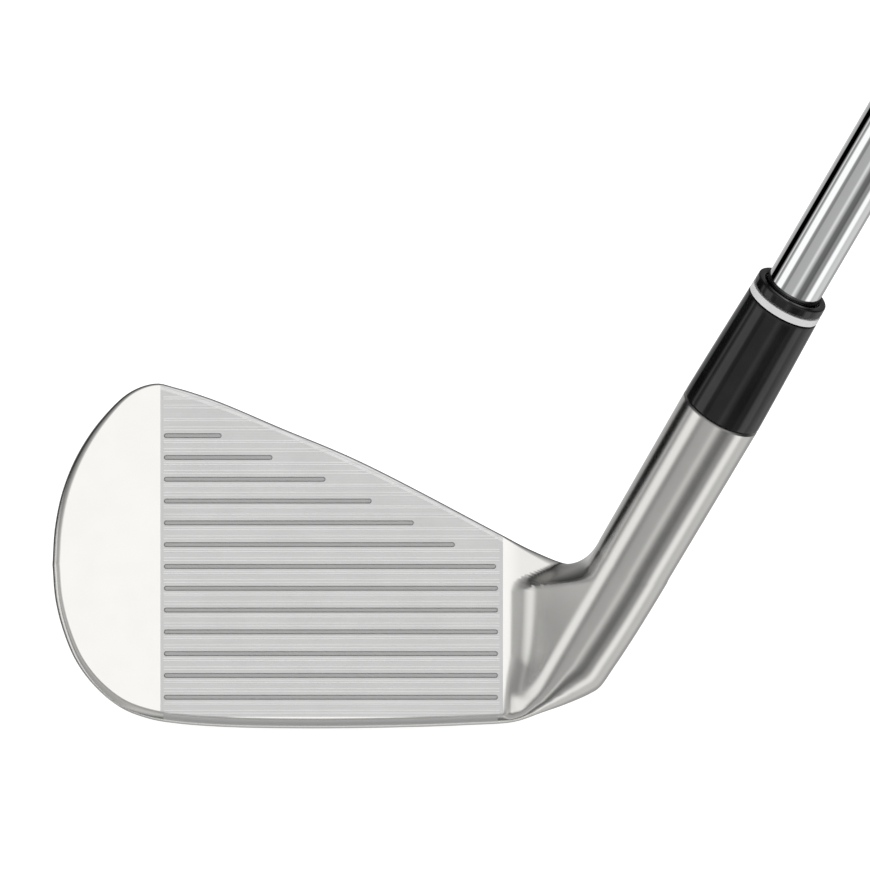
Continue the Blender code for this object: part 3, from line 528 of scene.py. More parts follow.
def lathe(work, profile, turns=TURNS):
    """Turns a closed profile of (radius, up) about the shaft line."""
    rings = []
    for radius, up in profile:
        if radius <= 0:
            rings.append([work.verts.new(shaft_spot(0.0, 0.0, up))] * turns)
        else:
            spots = [shaft_spot(radius, math.tau * i / turns, up) for i in range(turns)]
            rings.append([work.verts.new(spot) for spot in spots])
    for ring, following in zip(rings, [*rings[1:], rings[0]]):
        for i in range(turns):
            j = (i + 1) % turns
            corners = [ring[i], ring[j], following[j], following[i]]
            corners = list(dict.fromkeys(corners))
            if len(corners) > 2:
                work.faces.new(corners)


# ---------------------------------------------------------------- outline of the head


def face_point(across, height, depth):
    """A point given across and up the face plane, and its depth behind that plane."""
    return FACE_ORIGIN + ACROSS * across + FACE_UP * height - FACE_OUT * depth


def beside_shaft(up, right):
    """(across, height) of a point seen square to the face, beside the shaft line."""
    return SHAFT_FOOT[:2] + up * SEEN_LINE + right * SEEN_RIGHT


def hosel_radius(up):
    share = (up - HOSEL_NECK) / (HOSEL_TOP - HOSEL_NECK)
    return HOSEL_NECK_RADIUS + (HOSEL_TOP_RADIUS - HOSEL_NECK_RADIUS) * share


def smooth_through(points):
    """A dense centripetal Catmull-Rom curve through the points."""
    p = np.array(points)
    p = np.vstack([2 * p[0] - p[1], p, 2 * p[-1] - p[-2]])
    knots = np.concatenate([[0], np.cumsum(np.linalg.norm(np.diff(p, axis=0), axis=1) ** 0.5)])
    pieces = []
    for i in range(1, len(p) - 2):
        k0, k1, k2, k3 = knots[i - 1 : i + 3]
        t = np.linspace(k1, k2, OUTLINE_STEPS, endpoint=False)[:, None]
        a1 = (k1 - t) / (k1 - k0) * p[i - 1] + (t - k0) / (k1 - k0) * p[i]
        a2 = (k2 - t) / (k2 - k1) * p[i] + (t - k1) / (k2 - k1) * p[i + 1]
        a3 = (k3 - t) / (k3 - k2) * p[i + 1] + (t - k2) / (k3 - k2) * p[i + 2]
        b1 = (k2 - t) / (k2 - k0) * a1 + (t - k0) / (k2 - k0) * a2
        b2 = (k3 - t) / (k3 - k1) * a2 + (t - k1) / (k3 - k1) * a3
        pieces.append((k2 - t) / (k2 - k1) * b1 + (t - k1) / (k2 - k1) * b2)
    return np.vstack([*pieces, p[-2:-1]])


class Branch:
    """One side of the outline, from the tip of the toe to the hosel."""

    def __init__(self, points, inward_turn):
        self.points = smooth_through(points)
        steps = np.diff(self.points, axis=0)
        self.length = np.concatenate([[0], np.cumsum(np.linalg.norm(steps, axis=1))])
        along = np.gradient(self.points, self.length, axis=0)
        along[0] = (0.0, inward_turn)
        self.inward = np.column_stack([along[:, 1], -along[:, 0]]) * inward_turn

    def at(self, distance):
        """(point, inward direction) at a distance along the branch."""
        point = [np.interp(distance, self.length, self.points[:, i]) for i in (0, 1)]
        inward = np.array([np.interp(distance, self.length, self.inward[:, i]) for i in (0, 1)])
        return np.array(point), inward / np.linalg.norm(inward)

    def distance_at(self, across):
        return float(np.interp(across, self.points[:, 0], self.length))


def toe_point(length_share, height_share):
    return (-BLADE_LENGTH * length_share, TOE_HEIGHT * height_share)


def sole_point(length_share, rise_share):
    return (-BLADE_LENGTH * length_share, EDGE_LOW + (TOE_HEIGHT - EDGE_LOW) * rise_share)


def upper_branch():
    """Up the toe, along the top line, round the notch and up the left of the hosel."""
    neck = HOSEL_NECK_RADIUS
    toe = [(1, 0.492), (0.995, 0.595), (0.979, 0.699), (0.948, 0.801), (0.901, 0.896), (0.839, 0.976)]
    top = [(0.785, 1.0), (0.749, 0.990), (0.667, 0.955), (0.528, 0.876), (0.364, 0.782)]
    notch = [(-1.2, 9.2), (-0.45, 3.55), (0, 2.35), (1.4, 1.0), (3.3, 0.2), (6.0, 0)]
    points = [toe_point(*share) for share in toe + top]
    points.append((-SCORE_HEEL, HEEL_HEIGHT))
    points += [beside_shaft(CROTCH + rise * MM, -neck - out * MM) for rise, out in notch]
    points.append(beside_shaft(HOSEL_TOP * FORESHORTENING, -HOSEL_TOP_RADIUS))
    return Branch(points, 1)


def lower_branch():
    """Down the toe, along the sole, round the heel and up the right of the hosel."""
    neck = HOSEL_NECK_RADIUS
    toe = [(0.994, 0.376), (0.977, 0.281), (0.950, 0.193), (0.909, 0.118), (0.858, 0.061), (0.799, 0.029)]
    sole = [(0.739, 0.0152), (0.637, 0.0052), (0.467, 0.0012), (0.276, 0.0045), (0.141, 0.0110)]
    heel = [(2.6, 6.85), (6.0, 3.95), (9.3, 1.55), (10.9, 0.75), (14.6, 0.4), (22.8, 0.0)]
    points = [(-BLADE_LENGTH, TOE_HEIGHT * 0.492)]
    points += [sole_point(*share) for share in toe + sole]
    points.append((-3.6 * MM, EDGE_LOW + 1.15 * MM))
    points += [beside_shaft(up * MM, neck - short * MM) for up, short in heel]
    points.append(beside_shaft(HOSEL_TOP * FORESHORTENING, HOSEL_TOP_RADIUS))
    return Branch(points, -1)


# ---------------------------------------------------------------- loft of the head


def eased(share):
    """0 to 1 with a soft start and end, for a number or an array."""
    share = np.clip(share, 0.0, 1.0)
    return share * share * (3 - 2 * share)


def mixed(first, second, share):
    return {key: first[key] + (second[key] - first[key]) * share for key in first}


TOE_WALL = {
    "front": TOE_EDGE_RADIUS,
    "slope": math.radians(3),
    "end_slope": math.radians(9),
    "run": TOE_WIDTH - TOE_EDGE_RADIUS - BACK_EDGE_RADIUS,
    "rear": BACK_EDGE_RADIUS,
    "turn": math.radians(92),
}
TOP_WALL = {
    "front": TOP_EDGE_RADIUS,
    "slope": 0.0,
    "end_slope": math.radians(2),
    "run": TOP_LINE_WIDTH - TOP_EDGE_RADIUS - BACK_EDGE_RADIUS,
    "rear": BACK_EDGE_RADIUS,
    "turn": math.radians(90),
}
SOLE_WALL = {
    "front": LEADING_EDGE_RADIUS,
    "slope": LOFT - SOLE_FRONT_TILT,
    "end_slope": LOFT + SOLE_REAR_TILT,
    "run": SOLE_CAMBER_RADIUS * (SOLE_FRONT_TILT + SOLE_REAR_TILT),
    "rear": TRAILING_EDGE_RADIUS,
    "turn": math.radians(130),
}
HEEL_WALL = {
    "front": LEADING_EDGE_RADIUS,
    "slope": math.radians(8),
    "end_slope": math.radians(26),
    "run": HEEL_SOLE_WIDTH,
    "rear": TRAILING_EDGE_RADIUS,
    "turn": math.radians(110),
}


def wall_profile(wall):
    """(inset, depth) from the edge of the flat round the outer wall to the start of the back."""
    front, rear = wall["front"], wall["rear"]
    points = []
    for i in range(EDGE_STEPS + 1):
        angle = (math.pi / 2 + wall["slope"]) * i / EDGE_STEPS
        points.append((front * (1 - math.sin(angle)), front * (1 - math.cos(angle))))
    bend = max(wall["end_slope"] - wall["slope"], 1e-6)
    radius = wall["run"] / bend
    start = points[-1]
    for i in range(1, WALL_STEPS + 1):
        slope = wall["slope"] + bend * i / WALL_STEPS
        inset = start[0] + radius * (math.cos(wall["slope"]) - math.cos(slope))
        points.append((inset, start[1] + radius * (math.sin(slope) - math.sin(wall["slope"]))))
    start = points[-1]
    for i in range(1, REAR_EDGE_STEPS + 1):
        slope = wall["end_slope"] + (wall["turn"] - wall["end_slope"]) * i / REAR_EDGE_STEPS
        inset = start[0] + rear * (math.cos(wall["end_slope"]) - math.cos(slope))
        points.append((inset, start[1] + rear * (math.sin(slope) - math.sin(wall["end_slope"]))))
    return points


def placed_profile(point, inward, wall):
    """The wall's profile as points (across, height, out of the face), and its last direction."""
    points = [np.append(point + inward * inset, -depth) for inset, depth in wall_profile(wall)]
    leaving = np.append(inward * math.sin(wall["turn"]), -math.cos(wall["turn"]))
    return points, leaving


def between(first, second, steps):
    return [first + (second - first) * i / steps for i in range(1, steps)]


def bent(first, first_way, second, second_way, steps):
    """Points of a Bezier curve that leaves both its ends in the directions given."""
    low_pull, high_pull = 0.36, 0.46
    reach = np.linalg.norm(second - first)
    low_handle = first + first_way * reach * low_pull
    high_handle = second + second_way * reach * high_pull
    handles = (first, low_handle, high_handle, second)
    points = []
    for i in range(1, steps):
        t = i / steps
        weights = ((1 - t) ** 3, 3 * t * (1 - t) ** 2, 3 * t * t * (1 - t), t**3)
        points.append(sum(w * h for w, h in zip(weights, handles)))
    return points


def blade_loop(top, top_inward, low, low_inward, top_wall, low_wall):
    """A section of the blade: across the face, round the sole, up the back and over the top."""
    upper, upper_way = placed_profile(top, top_inward, top_wall)
    lower, lower_way = placed_profile(low, low_inward, low_wall)
    face = between(upper[0], lower[0], FRONT_STEPS)
    back = bent(lower[-1], lower_way, upper[-1], upper_way, BACK_STEPS)
    return np.array([upper[0], *face, *lower, *back, *reversed(upper[1:])])


def loop_angles():
    """The angle round the hosel of each point of a section, from the front towards the sole side."""
    wall = EDGE_STEPS + WALL_STEPS + REAR_EDGE_STEPS
    count = FRONT_STEPS + BACK_STEPS + 2 * wall
    first = -math.pi * FRONT_STEPS / count
    return [first + 2 * math.pi * i / count for i in range(count)]


def round_loop(centre, side, front, side_radius, front_radius):
    """A section of the hosel: an ellipse with one half-width along side and one along front."""
    return np.array(
        [
            centre + side * side_radius * math.sin(angle) + front * front_radius * math.cos(angle)
            for angle in loop_angles()
        ]
    )


def shaft_point(up):
    return SHAFT_FOOT + SHAFT_LINE * up


HOSEL_FRONT = np.array([0.0, 0.0, 1.0]) - SHAFT_LINE * SHAFT_LINE[2]
HOSEL_FRONT = HOSEL_FRONT / np.linalg.norm(HOSEL_FRONT)


def hosel_loop(up, inset=0.0):
    radius = hosel_radius(up) - inset
    return round_loop(shaft_point(up), np.append(SEEN_RIGHT, 0.0), HOSEL_FRONT, radius, radius)


def heel_loop(top, low, share):
    """The round section that a station of the heel turns into."""
    chord = low - top
    width = np.linalg.norm(chord)
    middle = (top + low) / 2
    up = (middle[1] - SHAFT_FOOT[1]) / SHAFT_LINE[1]
    front = np.array([0.0, 0.0, 1.0]) * (1 - share) + HOSEL_FRONT * share
    front = front / np.linalg.norm(front)
    centre = np.append(middle, shaft_point(up)[2])
    depth_radius = hosel_radius(up)
    return round_loop(centre, np.append(chord / width, 0.0), front, width / 2, depth_radius)


def slope_start(spots, along, line):
    """The angle round the hosel where its front runs on as a slope to the end of the flat."""
    radius = hosel_radius(np.maximum(along / FORESHORTENING, 0.0))
    reach = (along * SEEN_LINE[0] - FLAT_END - HEEL_HOLLOW) / SEEN_RIGHT[0]
    depth = line * FORESHORTENING
    span = np.maximum(np.hypot(reach, depth), radius)
    gentle = np.arctan2(depth, reach) + np.arcsin(radius / span)
    gentle = np.clip(gentle, HEEL_SLOPE_LOW, HEEL_SLOPE_MOST)
    past_notch = spots - beside_shaft(CROTCH, -HOSEL_NECK_RADIUS)
    above = past_notch @ (-math.sin(HEEL_STEEPER_LEAN), math.cos(HEEL_STEEPER_LEAN))
    steeper = eased((above + HEEL_STEEPER_BELOW) / HEEL_STEEPER_OVER)
    return gentle + (HEEL_SLOPE_TOP - gentle) * steeper


def hosel_swell(along, right, corner):
    """The hosel's front above its line: a round that runs on as a slope past the corner angle."""
    radius = hosel_radius(np.maximum(along / FORESHORTENING, 0.0))
    inside = np.clip(right, -radius * np.sin(corner), 0.0)
    past = np.maximum(-right - radius * np.sin(corner), 0.0)
    return (np.sqrt(radius**2 - inside**2) - past * np.tan(corner)) / FORESHORTENING


def heel_front(spots, lower):
    """How far the front of the heel stands out of the face plane at points (across, height)."""
    from_foot = spots - SHAFT_FOOT[:2]
    along, right = from_foot @ SEEN_LINE, from_foot @ SEEN_RIGHT
    line = SHAFT_FOOT[2] + SHAFT_LINE[2] / FORESHORTENING * along
    full = hosel_radius(np.maximum(along / FORESHORTENING, 0.0))
    right = np.where(right < 0, right * max(1.0, -full[0] / right[0]), right)
    corner = slope_start(spots, along, line)
    ridge = line + hosel_swell(along, right, corner)
    reach = HEEL_FILLET * np.clip(np.tan(corner), 0.1, 2.4)
    swell = np.maximum(ridge, 0.0) + np.maximum(reach - np.abs(ridge), 0.0) ** 2 / (4 * reach)
    swell = swell * eased((spots[:, 0] - FLAT_END) / HEEL_RISE)

    gaps = np.linalg.norm(lower.points[None] - spots[:, None], axis=2)
    nearest = np.argmin(gaps, axis=1)
    inset = np.sum((spots - lower.points[nearest]) * lower.inward[nearest], axis=1)
    climb = eased((lower.length[nearest] - lower.distance_at(FLAT_END) - 2.5 * MM) / HEEL_ROLL_OVER)
    roll = LEADING_EDGE_RADIUS + (full - LEADING_EDGE_RADIUS) * climb
    inset = np.clip(inset, 0.0, roll)
    stretch = 1 + (1 / FORESHORTENING - 1) * climb
    return swell - (roll - np.sqrt(2 * roll * inset - inset**2)) * stretch


def heel_section(top, top_inward, low, low_inward, share, lower):
    """A section of the heel, between the end of the flat and the round of the hosel."""
    top_wall = mixed(TOP_WALL, HEEL_WALL, 0.6 * share)
    flat = blade_loop(top, top_inward, low, low_inward, top_wall, HEEL_WALL)
    section = flat + (heel_loop(top, low, eased(share)) - flat) * eased(share)
    count, low_end, top_end = len(section), FRONT_STEPS + EDGE_STEPS, EDGE_STEPS
    front = np.arange(-top_end, low_end + 1)
    edge = np.zeros(len(front))
    edge[:top_end] = flat[front[:top_end], 2] * (1 - share)
    shift = heel_front(section[front, :2], lower) + edge - section[front, 2]
    section[front, 2] += shift
    rest = np.arange(low_end + 1, count - top_end)
    blend = (rest - low_end) / (count - top_end - low_end)
    section[rest, 2] += shift[-1] + (shift[0] - shift[-1]) * blend
    return section


def head_sections(upper, lower):
    """(sections from the toe to the top of the hosel, how many of them lie on the flat)."""
    sections = []
    tip, toe_end, flat_end = -BLADE_LENGTH, -BLADE_LENGTH * 0.72, FLAT_END
    quarter = [math.pi / 2 * i / TOE_STATIONS for i in range(TOE_STATIONS)]
    turned_in = [tip + (toe_end - tip) * (1 - math.cos(angle)) for angle in quarter]
    straight = list(np.linspace(toe_end, flat_end, BLADE_STATIONS + 1))
    for across in turned_in + straight:
        top, top_inward = upper.at(upper.distance_at(across))
        low, low_inward = lower.at(lower.distance_at(across))
        grown = eased((across - tip) / (BLADE_LENGTH * 0.25))
        heelward = eased((across + BLADE_LENGTH * 0.55) / (flat_end + BLADE_LENGTH * 0.55))
        low_wall = mixed(mixed(TOE_WALL, SOLE_WALL, grown), HEEL_WALL, heelward)
        sections.append(
            blade_loop(top, top_inward, low, low_inward, mixed(TOE_WALL, TOP_WALL, grown), low_wall)
        )
    flat_sections = len(sections)
    neck_up = (CROTCH + ROUND_FROM) / FORESHORTENING
    upper_start, lower_start = upper.distance_at(flat_end), lower.distance_at(flat_end)
    side = hosel_radius(neck_up)
    upper_end = upper.distance_at(beside_shaft(neck_up * FORESHORTENING, -side)[0])
    lower_end = lower.distance_at(beside_shaft(neck_up * FORESHORTENING, side)[0])
    for i in range(1, HEEL_STATIONS):
        share = i / HEEL_STATIONS
        top, top_inward = upper.at(upper_start + (upper_end - upper_start) * share)
        low, low_inward = lower.at(lower_start + (lower_end - lower_start) * share)
        upward = (top - low) / np.linalg.norm(top - low)
        low_inward = low_inward + (upward - low_inward) * eased(share * 3)
        low_inward = low_inward / np.linalg.norm(low_inward)
        sections.append(heel_section(top, top_inward, low, low_inward, share, lower))
    for up in np.linspace(neck_up, HOSEL_TOP - CHAMFER, HOSEL_STATIONS + 1):
        sections.append(hosel_loop(up))
    sections.append(hosel_loop(HOSEL_TOP, inset=CHAMFER))
    return sections, flat_sections


def loft_head(work, upper, lower):
    """Skins the sections, closes the hosel's end and makes the flat of the face one polygon."""
    sections, flat_sections = head_sections(upper, lower)
    rings = []
    for section in sections:
        rings.append([work.verts.new(face_point(x, y, -out)) for x, y, out in section])
    flat = []
    count = len(rings[0])
    for ring, (first, second) in enumerate(zip(rings, rings[1:])):
        for i in range(count):
            j = (i + 1) % count
            face = work.faces.new((first[i], first[j], second[j], second[i]))
            if ring < flat_sections - 1 and i < FRONT_STEPS:
                flat.append(face)
    work.faces.new(rings[-1])
    bmesh.ops.dissolve_faces(work, faces=flat, use_verts=True)
    bmesh.ops.remove_doubles(work, verts=work.verts, dist=0.000006)
    bmesh.ops.dissolve_degenerate(work, edges=work.edges, dist=0.000006)


# ---------------------------------------------------------------- cutters of the head


def groove_ends(index, upper):
    """(toe end, heel end, height up the face) of one scoring line."""
    height = FLAT_LOW + GROOVE_FIRST + index * GROOVE_PITCH
    top = (upper.points[:, 0] > -SCORE_TOE) & (upper.points[:, 0] < -SCORE_HEEL + SCORE_MARGIN)
    limit = upper.points[top] + upper.inward[top] * SCORE_MARGIN
    under = float(np.interp(-height, -limit[:, 1], limit[:, 0]))
    return -SCORE_TOE, min(-SCORE_HEEL, under), height


def slot_ring(work, toe_end, heel_end, height, radius, depth):
    """The corners of a slot's round-ended outline at one depth."""
    ring = []
    for i in range(2 * SLOT_END_STEPS + 2):
        end, side = (heel_end, 0) if i <= SLOT_END_STEPS else (toe_end, 1)
        angle = math.pi * (i - side) / SLOT_END_STEPS - math.pi / 2
        across = end + radius * math.cos(angle)
        ring.append(work.verts.new(face_point(across, height + radius * math.sin(angle), depth)))
    return ring


def join_rings(work, near_ring, far_ring):
    """A closed solid between two rings of the same count."""
    work.faces.new(near_ring)
    work.faces.new(reversed(far_ring))
    for i, near in enumerate(near_ring):
        j = (i + 1) % len(near_ring)
        work.faces.new((near_ring[j], near, far_ring[i], far_ring[j]))


def fill_grooves(work, upper, width, depth):
    """Every scoring line as a slot with round ends that narrows as it goes in."""
    outside = 0.3 * MM
    half = width / 2
    lean = math.tan(GROOVE_WALL_ANGLE)
    for index in range(GROOVE_COUNT):
        toe_end, heel_end, height = groove_ends(index, upper)
        ends = (toe_end + half, heel_end - half, height)
        wide = slot_ring(work, *ends, half + outside * lean, -outside)
        join_rings(work, wide, slot_ring(work, *ends, half - depth * lean, depth))


def pocket_outline(upper, inset, share=1.0):
    """The pocket in the back: along its upper side from the toe, then its two lower corners."""
    margin = CAVITY_FRAME + inset
    low_toe, low_heel = CAVITY_LOWER_TOE + inset, CAVITY_LOWER + inset
    toe, heel = -BLADE_LENGTH + margin, -CAVITY_HEEL - inset
    first = upper.distance_at(-BLADE_LENGTH + 0.6 * MM)
    last = upper.distance_at(heel)
    outline = []
    for distance in np.linspace(first, last, POCKET_STEPS + 1):
        edge, inward = upper.at(distance)
        x, y = edge + inward * margin
        if np.min(np.linalg.norm(upper.points - (x, y), axis=1)) < margin * 0.97:
            continue  # inside the curve of the toe, where the offset would fold over
        base = low_toe + (low_heel - low_toe) * (x - toe) / (heel - toe)
        outline.append((x, base + (y - base) * share))
    return [*outline, (outline[-1][0], low_heel), (outline[0][0], low_toe)]


def smooth_outline(outline, corner):
    """A closed outline as evenly spaced points, with its corners rounded off."""
    points = np.vstack([outline, outline[:1]])
    length = np.concatenate([[0], np.cumsum(np.linalg.norm(np.diff(points, axis=0), axis=1))])
    places = np.linspace(0, length[-1], OUTLINE_POINTS, endpoint=False)
    points = np.column_stack([np.interp(places, length, points[:, i]) for i in (0, 1)])
    spread = 0.45 * corner / (length[-1] / OUTLINE_POINTS)
    for _ in range(round(2 * spread * spread)):
        points = (np.roll(points, 1, axis=0) + 2 * points + np.roll(points, -1, axis=0)) / 4
    return points


def moved_in(outline, inset):
    """A clockwise outline moved inwards, square to its sides."""
    along = np.roll(outline, -1, axis=0) - np.roll(outline, 1, axis=0)
    along = along / np.linalg.norm(along, axis=1)[:, None]
    return outline + np.column_stack([along[:, 1], -along[:, 0]]) * inset


def stack(work, outline, levels):
    """A closed solid through the outline at each (inset, depth)."""
    rings = []
    for inset, depth in levels:
        rings.append([work.verts.new(face_point(x, y, depth)) for x, y in moved_in(outline, inset)])
    work.faces.new(rings[0])
    work.faces.new(reversed(rings[-1]))
    for near_ring, far_ring in zip(rings, rings[1:]):
        for i, near in enumerate(near_ring):
            j = (i + 1) % len(near_ring)
            work.faces.new((near_ring[j], near, far_ring[i], far_ring[j]))


def quarter_round(radius, depth, steps=6):
    """(inset, depth) levels of an edge that rounds over as the depth grows."""
    angles = [math.pi / 2 * i / steps for i in range(steps + 1)]
    return [(radius * (1 - math.sin(a)), depth + radius * (1 - math.cos(a))) for a in angles]


def depth_of(point):
    """How far a point lies behind the face plane."""
    return (FACE_ORIGIN - point).dot(FACE_OUT)


def fill_plug(work, radius, near, far):
    """A round cutter square to the face, at the toe weight's place."""
    rings = []
    for depth in (near, far):
        ring = []
        for i in range(96):
            angle = math.tau * i / 96
            across, up = radius * math.cos(angle), radius * math.sin(angle)
            ring.append(work.verts.new(face_point(across - WEIGHT_TOE, up + WEIGHT_HEIGHT, depth)))
        rings.append(ring)
    join_rings(work, *rings)


# ---------------------------------------------------------------- finishes


def head_finish(finishes, upper):
    """Satin plated steel with a polished toe, a milled face, and grooves that are blasted rougher and coloured darker
    as painted shade in the recess.
    """
    steel = Finish("head_steel", metallic=1.0)
    across, height, depth = steel.on_face()
    on_plane = depth.rise(0.02 * MM, 0.008 * MM)
    under_top = top_line_height(upper, across) - height
    zone = across.within(-SCORE_TOE - 0.55 * MM, -SCORE_HEEL + 0.8 * MM, 0.03 * MM)
    milled = zone * under_top.rise(0.95 * MM, 1.05 * MM)
    milled = milled * height.rise(FLAT_LOW + 0.25 * MM, FLAT_LOW + 0.35 * MM) * on_plane
    framed = across.within(-SCORE_TOE - 0.05 * MM, -SCORE_HEEL + 0.25 * MM, 0.03 * MM)

    # the cutter leaves fine passes along the face, four of them brighter in every pitch
    pitch = (height - (FLAT_LOW + GROOVE_FIRST)) / GROOVE_PITCH + 20.0
    share = pitch.math("FRACT")
    wander = steel.noise(steel.vector(across * 40.0, height * 4000.0, 0.0), 1.0, 3.0, 0.6)
    streak = steel.noise(steel.vector(across * 90.0, height * 9000.0, 3.0), 1.0, 2.0, 0.6)
    bright = 0.0
    for place, width in ((0.27, 0.020), (0.40, 0.020), (0.68, 0.022), (0.77, 0.022)):
        bright = share.within(place - width, place + width, 0.012) + bright
    passes = (pitch * (math.tau * 9.0)).math("SINE") * 0.5 + 0.5
    lines = bright * 0.75 + passes * 0.12 + wander * 0.5 + streak * 0.3
    lines = lines * framed + (1 - framed) * 0.3

    blotch = steel.noise(steel.place, 160.0, 3.0, 0.55)
    grain = steel.noise(steel.place, 5200.0, 2.0, 0.6)
    brushed = steel.round_noise(5200.0, 260.0, 2.0)

    plain = finishes.steel[:]
    milled_tone = steel.colours(lines.rise(0.3, 1.3), darker(finishes.milled, 0.84), darker(finishes.milled, 1.22))
    rim = zone * under_top.rise(1.0 * MM, 0.9 * MM) * depth.rise(1.2 * MM, 0.8 * MM)
    rim_line = under_top.within(0.42 * MM, 0.54 * MM, 0.04 * MM) + under_top.within(0.9 * MM, 1.0 * MM, 0.04 * MM)
    rim_tone = steel.colours(rim_line, darker(finishes.milled, 1.05), darker(finishes.milled, 0.84))
    steel_tone = steel.colours(blotch.rise(0.3, 0.7), darker(plain, 0.97), plain)
    # the grooves' insides: rougher from blasting, and also a mask for the painted shade in the recess
    groove_blast_and_shade = depth.within(0.06 * MM, 0.6 * MM, 0.03 * MM) * framed * across.rise(-SCORE_HEEL, -SCORE_HEEL - 0.2 * MM)
    face_tone = steel.colours(milled, steel.colours(rim, steel_tone, rim_tone), milled_tone)
    # painted shade: every groove's inside is coloured darker than the milled face around it
    steel.feed("Base Color", steel.colours(groove_blast_and_shade, face_tone, darker(finishes.milled, 0.92)))
    polished = on_plane * across.rise(-HOSEL_TOP_RADIUS * 0.3, -HOSEL_TOP_RADIUS * 0.8)
    rough = finishes.steel_roughness - polished * 0.1 + (blotch - 0.5) * 0.05 + (grain - 0.5) * 0.04
    steel.feed("Roughness", rough + (milled + rim) * (0.16 + lines * 0.06) + groove_blast_and_shade * 0.3)
    relief = milled * lines * 1.0 + (1 - milled) * (grain * 0.10 + brushed * 0.10)
    steel.bump(relief, 0.006 * MM)
    return steel.material


def top_line_height(upper, across):
    """Height of the top line over the scored part of the face, as a curve in the across value."""
    scored = upper.points[(upper.points[:, 0] > -SCORE_TOE - MM) & (upper.points[:, 0] < FLAT_END + MM)]
    scored = scored[scored[:, 1] > HEEL_HEIGHT - MM]
    curve = np.polyfit(scored[:, 0] / MM, scored[:, 1] / MM, 4)
    height = 0.0
    for factor in curve:
        height = height * (across / MM) + float(factor)
    return height * MM


def darker(colour, share):
    return tuple(channel * share for channel in colour)


def weight_finish():
    """Turned tungsten with fine rings."""
    metal = Finish("weight_metal", metallic=1.0)
    across, height, _ = metal.on_face()
    centre_x, centre_y = across + WEIGHT_TOE, height - WEIGHT_HEIGHT
    radius = (centre_x * centre_x + centre_y * centre_y).math("SQRT")
    rings = (radius * (math.tau / (0.16 * MM))).math("SINE") * 0.5 + 0.5
    cloud = metal.noise(metal.place, 900.0, 3.0, 0.6)
    metal.feed("Base Color", metal.colours(cloud.rise(0.3, 0.7), (0.36, 0.355, 0.35), (0.46, 0.455, 0.45)))
    metal.feed("Roughness", 0.28 + rings * 0.08 + cloud * 0.06)
    metal.bump(rings * 0.6 + cloud * 0.4, 0.008 * MM)
    return metal.material


def badge_finish():
    """Dark anodised plate with hairlines."""
    plate = Finish("badge_metal", metallic=0.85)
    across, height, depth = plate.on_face()
    hair = plate.noise(plate.vector(across * 60.0, height * 7000.0, 0.0), 1.0, 3.0, 0.65)
    cloud = plate.noise(plate.place, 220.0, 2.0)
    plate.feed("Base Color", plate.colours(hair.rise(0.3, 0.75), (0.035, 0.035, 0.038), (0.075, 0.075, 0.08)))
    plate.feed("Roughness", 0.3 + hair * 0.12 + cloud * 0.05)
    plate.bump(hair, 0.006 * MM)
    return plate.material


def tape_finish():
    """Foam mounting tape, with cells and cut fibres."""
    foam = Finish("adhesive_tape")
    cells = foam.cells(foam.place, 3800.0)
    cloud = foam.noise(foam.place, 500.0, 3.0)
    foam.feed("Base Color", foam.colours(cells.rise(0.1, 0.6), (0.74, 0.72, 0.65), (0.56, 0.54, 0.47)))
    foam.feed("Roughness", 0.78 + cloud * 0.15)
    foam.bump(1 - cells, 0.03 * MM)
    return foam.material


def epoxy_finish():
    """Cured epoxy, amber and full of glass beads."""
    resin = Finish("epoxy", coat_weight=0.3)
    beads = resin.cells(resin.place, 2600.0)
    cloud = resin.noise(resin.place, 300.0, 3.0)
    bead = beads.rise(0.42, 0.2)
    tone = resin.colours(cloud.rise(0.3, 0.7), (0.42, 0.33, 0.16), (0.56, 0.47, 0.27))
    resin.feed("Base Color", resin.colours(bead, tone, (0.72, 0.68, 0.56)))
    resin.feed("Roughness", 0.5 - bead * 0.2 + cloud * 0.05)
    resin.bump(bead, 0.02 * MM)
    return resin.material


def brass_finish():
    """Turned brass, with the tool's rings and a trace of tarnish."""
    brass = Finish("plug_brass", metallic=1.0)
    up, _ = brass.on_shaft()
    rings = (up * (math.tau / (0.22 * MM))).math("SINE") * 0.5 + 0.5
    tarnish = brass.noise(brass.place, 420.0, 4.0, 0.6)
    tone = brass.colours(tarnish.rise(0.4, 0.75), (0.78, 0.58, 0.26), (0.48, 0.31, 0.13))
    brass.feed("Base Color", tone)
    brass.feed("Roughness", 0.26 + rings * 0.06 + tarnish * 0.2)
    brass.bump(rings, 0.01 * MM)
    return brass.material


def black_plastic_finish(colour):
    """Polished black cellulose with a faint swirl left by the buffing wheel."""
    plastic = Finish("ferrule_black", ior=1.5)
    swirl = plastic.round_noise(900.0, 5200.0, 3.0)
    cloud = plastic.noise(plastic.place, 260.0, 3.0)
    plastic.feed("Base Color", plastic.colours(cloud.rise(0.35, 0.7), tuple(colour), darker(colour, 1.6)))
    plastic.feed("Roughness", 0.045 + swirl * 0.04 + cloud * 0.02)
    plastic.bump(swirl * 0.5 + cloud * 0.5, 0.002 * MM)
    return plastic.material


def white_plastic_finish(colour):
    """Satin white plastic with fine turning marks."""
    plastic = Finish("ferrule_white", ior=1.5)
    marks = plastic.round_noise(500.0, 9000.0, 3.0)
    tone = plastic.colours(marks.rise(0.3, 0.75), darker(colour, 0.93), tuple(colour))
    plastic.feed("Base Color", tone)
    plastic.feed("Roughness", 0.24 + marks * 0.12)
    plastic.bump(marks, 0.004 * MM)
    return plastic.material


